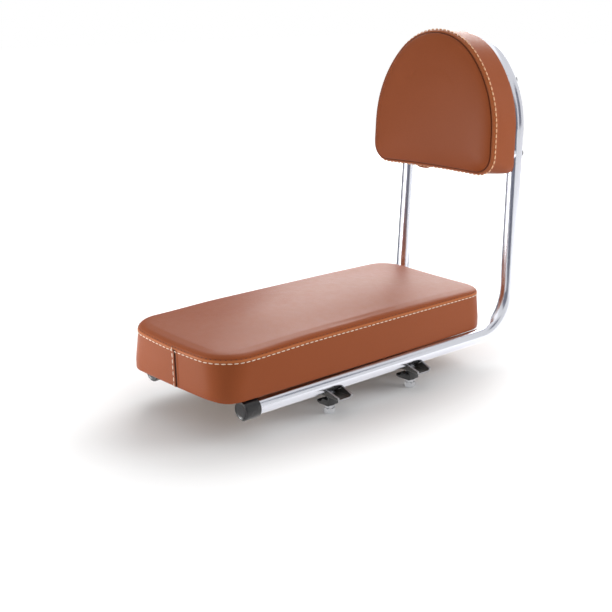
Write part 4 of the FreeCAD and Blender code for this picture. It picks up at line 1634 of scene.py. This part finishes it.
@dataclass
class BackPad(Cushion):
    """Arched back pad that follows the tube behind it."""

    overhang: float = 9.5
    height: float = 149.0
    pull: float = 2.0
    corner: float = 21.0
    base_tuck: float = 13.0
    least_corner: float = 6.0
    standoff: float = 12.0
    knot_from: float = -24.0
    knot_to: float = -4.0
    knot_at: float = -2.2
    knot_depth: float = 8.0
    knot_sag: float = 1.1
    knot_tips: float = 0.9
    knot_half: tuple[float, float] = (1.5, 2.0)
    knot_facets: int = 14

    def sides(self, inset: float, share: float) -> list[np.ndarray]:
        """Outline in four runs: lower edge, left side, arch, right side."""
        side, top = self.tube.arch(self.overhang - inset)
        bottom = self.tube.back_height + self.overhang - self.height + inset
        draw = self.tube.draw
        spread = side[0][0] + (side[0][1] - bottom) * math.tan(draw)
        r = max(self.corner - self.base_tuck * (1 - share) - inset, self.least_corner)
        centre = (spread - r * (1 + math.sin(draw)) / math.cos(draw), bottom + r)
        end = math.degrees(draw)
        middle = (end - 90) / 2
        lower = arc_line(centre, r, -90, middle)
        flip = np.array([-1, 1])
        rising = np.vstack([arc_line(centre, r, middle, end), side])
        under = resampled(np.vstack([(lower * flip)[::-1], lower]), np.linspace(0, 1, 90))
        under[:, 1] += self.pull * share * np.clip(1 - (under[:, 0] / spread) ** 2, 0, 1)
        return [under, rising, top, (rising * flip)[::-1]]

    def place(self) -> Matrix:
        """The flat frame stands on the plane of the tube, forward of it."""
        return self.tube.place() @ Matrix.Translation((0, 0, self.standoff * MM))

    def thread(self, finishes: Finishes) -> Material:
        """The pad's stitches take a warmer, darker copy of the cream thread, as painted shade."""
        return finishes.warm_thread

    def knot(self, finishes: Finishes) -> Object:
        """Lapped end of the strip at the lower edge."""
        ring, _ = self.loop(self.knot_at, 0.1, 1.0)
        low = ring[:, 1] < ring[:, 1].min() + self.knot_depth * MM
        chosen = ring[low & (ring[:, 0] > self.knot_from * MM) & (ring[:, 0] < self.knot_to * MM)]
        chosen = chosen[np.argsort(chosen[:, 0])]
        share = np.linspace(-1, 1, len(chosen))
        chosen[:, 1] -= (self.knot_sag * (1 - share ** 2) - self.knot_tips * share ** 6) * MM
        made = Trees.path(self.name + "_lip_lap", chosen, closed=False)
        wide, high = self.knot_half
        return Trees.run(Trees.bar(), made, {"Half Width": wide * MM, "Half Height": high * MM,
                                             "Sides": self.knot_facets, "Material": finishes.leather})

    def trims(self, body: Object, finishes: Finishes) -> list[tuple[Object, Slot | None]]:
        """Pieces that lie on the pad, with the lapped end of the strip."""
        return super().trims(body, finishes) + [(self.knot(finishes), Slot.LEATHER)]


# Channels, clamps and fixings


@dataclass
class CrossChannels:
    """Two pressed channels under the rails."""

    ease: float = 0.35

    def build(self, finishes: Finishes) -> None:
        """Ease the edges of each channel and paint it."""
        for end in ("front", "rear"):
            made = Shop.softened(end + "_cross_channel", end + "_channel", self.ease, finishes.channel)
            Shop.finish(made, Slot.CHANNEL)


@dataclass
class ClampSets:
    """Jaws, bolts and washers that grip the bars of a rack."""

    tube: TubeFrame
    pitch: float = 114.0
    head_low: float = -19.2
    head_high: float = -13.7
    flats: float = 10.0
    shank: float = 3.0
    tip: float = 12.5
    thread_pitch: float = 1.0
    thread_depth: float = 0.45
    ease: float = 0.5

    def bolt(self) -> Object:
        """One bolt with an eased six-sided head and a cut thread, head down."""
        bm = bmesh.new()
        corner = self.flats / math.sqrt(3)
        low, high = self.head_low, self.head_high
        levels = [(0.80, low, True), (0.94, low + 0.12, True), (1.0, low + 0.75, False),
                  (1.0, high - 0.45, False), (0.93, high - 0.05, True)]
        rows = []
        for share, z, round_off in levels:
            row = []
            for angle in Shop.TURN:
                local = (angle + math.pi / 6) % (math.pi / 3) - math.pi / 6
                flat = corner * math.cos(math.pi / 6) / math.cos(local)
                row.append((min(flat, corner * share) if round_off else flat, z))
            rows.append(row)
        steps = int((self.tip - self.head_high) / self.thread_pitch * 5)
        for n in range(steps + 1):
            z = self.head_high + (self.tip - self.head_high) * n / steps
            row = []
            for k in range(len(Shop.TURN)):
                phase = ((z - self.head_high) / self.thread_pitch - k / len(Shop.TURN)) % 1.0
                depth = self.thread_depth * abs(2 * phase - 1) if n > 6 else 0.0
                row.append((self.shank - depth - (0.8 if n == steps else 0.0), z))
            rows.append(row)
        Shop.rows(bm, rows, self.head_low + 0.15, self.tip)
        return Shop.loose("bolt", bm, sharp=35)

    def build(self, finishes: Finishes) -> None:
        """Set out the bolts and ease the jaws."""
        ends = (-self.pitch / 2, self.pitch / 2)
        spots = np.array([self.tube.rail_point(side, y) * (1, 1, 0) for side in Side for y in ends]) * MM
        Shop.set_out("clamp_bolt_set", spots, UP, self.bolt(), "clamp_bolts", finishes.zinc)
        for end in ("front", "rear"):
            for side in Side:
                tag = end + "_" + side.name.lower()
                jaw = Shop.softened("clamp_jaw_" + tag, "jaw_" + tag, self.ease, finishes.jaw)
                Shop.finish(jaw, Slot.JAW)


@dataclass
class CushionFixings:
    """Screws that hold both cushions, with low round heads and a cross recess."""

    tube: TubeFrame
    seat_head: tuple[float, float] = (5.5, 3.2)
    pad_head: tuple[float, float] = (4.8, 1.8)
    shank: float = 3.0
    seat_x: float = 45.0
    pitch: float = 114.0
    seat_length: float = 33.0
    pad_length: float = 30.5
    low_rise: float = 197.5
    high_angle: float = math.radians(30.0)
    clear: float = 8.3
    rings: int = 18
    dome_fall: float = 0.62
    dome_power: float = 3.2
    recess_half: float = 0.62
    recess_reach: float = 2.7
    recess_depth: float = 0.47
    recess_end: float = 2.75
    recess_slope: float = 0.8

    def screw(self, length: float, radius: float, height: float) -> Object:
        """One loose screw whose head stands below z 0 and whose shank runs up.

        Args:
            length: length of the shank.
            radius: radius of the head.
            height: height of the head.

        Returns:
            The screw.
        """
        bm = bmesh.new()
        rows = []
        for n in range(1, self.rings + 1):
            row = []
            r = radius * n / self.rings
            for angle in Shop.TURN:
                depth = height * (1 - self.dome_fall * (n / self.rings) ** self.dome_power)
                a, b = abs(r * math.cos(angle)), abs(r * math.sin(angle))
                if min(a, b) < self.recess_half and max(a, b) < self.recess_reach:
                    cut = min(1.0, (self.recess_end - max(a, b)) / self.recess_slope)
                    depth -= self.recess_depth * height * cut
                row.append((r, -depth))
            rows.append(row)
        for ring in ((radius, -0.25), (radius - 0.25, 0.0), (self.shank, 0.0), (self.shank, length)):
            rows.append([ring] * len(Shop.TURN))
        Shop.rows(bm, rows, (self.recess_depth - 1) * height, length)
        return Shop.loose("screw", bm, sharp=40)

    def build(self, finishes: Finishes) -> None:
        """Set out the screws of the seat and of the back pad."""
        ends = (-self.pitch / 2, self.pitch / 2)
        seat = np.array([(side.value * self.seat_x, y, 0.0) for side in Side for y in ends]) * MM
        screw = self.screw(self.seat_length, *self.seat_head)
        Shop.set_out("seat_screw_set", seat, UP, screw, "seat_bolts", finishes.zinc)
        hub, radius = self.tube.hub(), self.tube.side_radius
        low = (self.tube.rail_x - self.low_rise * math.tan(self.tube.draw), self.low_rise)
        high = (hub[0] + radius * math.cos(self.high_angle), hub[1] + radius * math.sin(self.high_angle))
        flat = np.array([(side.value * x, v) for side in Side for x, v in (low, high)])
        forward = (0.0, -math.cos(self.tube.lean), math.sin(self.tube.lean))
        pad = self.tube.flat_to_row(flat, -self.clear)
        screw = self.screw(self.pad_length, *self.pad_head)
        Shop.set_out("pad_screw_set", pad, forward, screw, "backrest_screws", finishes.zinc)


@dataclass
class PlainSolids:
    """Solids of the frame that keep their shape and get a finish."""

    zinc: tuple[str, ...] = ("clamp_washers", "clamp_spring_washers", "rail_spacers", "rail_rivet_nuts",
                             "seat_sleeves", "seat_tee_nuts", "backrest_tee_nuts")
    board: tuple[str, ...] = ("seat_base_board", "backrest_board")
    bright: tuple[str, ...] = ("backrest_saddles",)

    def dress(self, finishes: Finishes) -> None:
        """Give each solid its finish."""
        groups = ((self.zinc, finishes.zinc), (self.board, finishes.board), (self.bright, finishes.tube))
        for names, material in groups:
            for name in names:
                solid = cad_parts[name]
                solid.data.materials.clear()
                solid.data.materials.append(material)
                log.info("solid %s dressed in %s", name, material.name)


# Studio


@dataclass(frozen=True)
class Lamp:
    """A soft square lamp."""

    name: str
    at: Place
    aim: Place
    size: float
    power: float
    mirrored: bool = True
    diffuse: bool = True

    def hang(self) -> None:
        """Hang the lamp out of the camera's sight."""
        data = bpy.data.lights.new(self.name, "AREA")
        data.shape = "SQUARE"
        data.size = self.size
        data.energy = self.power
        made = bpy.data.objects.new(self.name, data)
        made.location = self.at
        made.rotation_euler = (Vector(self.aim) - Vector(self.at)).to_track_quat("-Z", "Y").to_euler()
        made.visible_camera = False
        made.visible_glossy = self.mirrored
        made.visible_diffuse = self.diffuse
        bpy.context.scene.collection.objects.link(made)


@dataclass(frozen=True)
class Card:
    """A card that only reflections show, upright or flat on the floor."""

    name: str
    centre: tuple[float, float]
    turn: float
    half: tuple[float, float]
    heights: tuple[float, float]

    def set_up(self, floor: float, material: Material) -> None:
        """Set the card up at its heights over the floor."""
        spin = Matrix.Rotation(math.radians(self.turn), 2)
        corners = []
        for a, b, end in ((-1, -1, 0), (-1, 1, 0), (1, 1, 1), (1, -1, 1)):
            spot = Vector(self.centre) + spin @ Vector((a * self.half[0], b * self.half[1]))
            corners.append((*spot, floor + self.heights[end]))
        made = Shop.piece(self.name, np.array(corners), [(0, 1, 2, 3)], material)
        made.visible_camera = made.visible_diffuse = made.visible_shadow = False


@dataclass
class Studio:
    """Floor, light and camera at the angle of the photograph."""

    floor_z: float = -19.25
    floor_half: float = 6.0
    camera_at: Place = (0.8225, -0.7616, 0.3892)
    azimuth: float = math.radians(48.0)
    elevation: float = math.radians(16.21)
    roll: float = math.radians(-0.07)
    lens: float = 65.06
    sensor: float = 36.0
    ambient: float = 0.40
    lamps: tuple[Lamp, ...] = (
        Lamp("overhead", (-0.2, -0.1, 1.6), (0.0, 0.0, 0.1), 1.4, 3.0),
        Lamp("front_low", (-0.32, -0.60, 0.09), (0.0, -0.19, 0.045), 0.22, 2.2),
        Lamp("front_strip", (-0.2, -1.1, 0.27), (0.04, 0.19, 0.26), 0.22, 1.5, diffuse=False),
        Lamp("left_fill", (1.45, -0.35, 0.5), (0.0, 0.05, 0.12), 0.6, 4.0, mirrored=False),
        Lamp("left_rear", (0.74, 0.88, 0.5), (0.07, 0.0, 0.04), 0.6, 6.0, mirrored=False),
        Lamp("back_sheen", (-0.95, 1.2, 0.5), (0.0, 0.0, 0.07), 1.3, 8.0),
        Lamp("back_high", (-0.75, 0.95, 1.0), (0.0, 0.0, 0.07), 1.2, 14.0),
    )
    cards: tuple[Card, ...] = (
        Card("flag_front_low", (0.5, -0.3), 0.0, (0.26, 0.3), (0.0, 0.0)),
        Card("flag_front", (0.49, -0.55), -57.0, (0.0, 0.46), (0.0, 0.62)),
        Card("flag_right_low", (-0.52, 0.2), 0.0, (0.22, 0.26), (0.0, 0.0)),
        Card("flag_right", (-0.74, 0.2), 0.0, (0.0, 0.32), (0.0, 0.55)),
        Card("flag_left", (0.37, 0.26), 10.0, (0.0, 0.11), (0.26, 0.52)),
        Card("flag_under", (0.02, 0.12), 0.0, (0.0, 0.32), (0.0, 0.041)),
    )
    card_clear: float = 1.0

    def floor(self, finishes: Finishes) -> None:
        """Lay the floor under the feet of the object."""
        h, z = self.floor_half, self.floor_z * MM
        corners = np.array([(-h, -h, z), (h, -h, z), (h, h, z), (-h, h, z)])
        made = Shop.piece("floor", corners, [(0, 1, 2, 3)], finishes.floor)

    def world(self) -> None:
        """White surroundings for the camera and for reflections, dimmer as light."""
        world = bpy.data.worlds.new("studio")
        world.use_nodes = True
        bpy.context.scene.world = world
        bench = Bench(world.node_tree)
        back = world.node_tree.nodes["Background"]
        back.inputs["Color"].default_value = (1, 1, 1, 1)
        bench.join(bench.spread(bench.seen(), self.ambient, 1.0), back.inputs["Strength"])

    def camera(self) -> None:
        """Set up the camera where the photograph was taken from."""
        a, e = self.azimuth, self.elevation
        right = Vector((math.cos(a), math.sin(a), 0))
        back = Vector((math.sin(a) * math.cos(e), -math.cos(a) * math.cos(e), math.sin(e)))
        turn = Matrix((right, back.cross(right), back)).transposed() @ Matrix.Rotation(self.roll, 3, "Z")
        data = bpy.data.cameras.new("camera")
        data.lens = self.lens
        data.sensor_width = self.sensor
        data.sensor_fit = "HORIZONTAL"
        data.clip_start, data.clip_end = 0.01, 50
        made = bpy.data.objects.new("camera", data)
        made.matrix_world = Matrix.Translation(self.camera_at) @ turn.to_4x4()
        bpy.context.scene.collection.objects.link(made)
        bpy.context.scene.camera = made

    def build(self, finishes: Finishes) -> None:
        """Lay the floor and set up the cards, which give the tube dark streaks, the lamps and the camera."""
        self.floor(finishes)
        for card in self.cards:
            card.set_up((self.floor_z + self.card_clear) * MM, finishes.card)
        self.world()
        for lamp in self.lamps:
            lamp.hang()
        self.camera()
        bpy.context.scene.view_settings.view_transform = "Standard"


def main() -> None:
    """Build every sub-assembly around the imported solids."""
    logging.basicConfig(level=logging.INFO, format="%(name)s: %(message)s")
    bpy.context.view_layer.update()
    finishes = Finishes.make()
    tube = TubeFrame()
    tube.build(finishes)
    EndCaps(tube).build(finishes)
    CrossChannels().build(finishes)
    ClampSets(tube).build(finishes)
    CushionFixings(tube).build(finishes)
    PlainSolids().dress(finishes)
    SeatCushion("seat_cushion", tube, band=36.4, crown=7.6, roll=13.0, fullness=2.4, dome=4.5, droop=0.8,
                nodes=("seat_cover", "seat_foam")).build(finishes)
    BackPad("back_pad", tube, crown=10.0, roll=36.0, dome=0.6, across=30, along=24, strip_from=-2.6,
            strip_to=3.9, strip_rise=1.2, groove_at=4.8, groove_depth=1.1, groove_half=0.55, groove_shade=1.0,
            strip_highlight=0.45, stitch_at=0.2, stitch_pitch=5.6, stitch_length=4.3, stitch_width=1.6,
            staple_inset=17.0, nodes=("backrest_cover", "backrest_foam")).build(finishes)
    Studio().build(finishes)


if __name__ == "__main__":
    main()
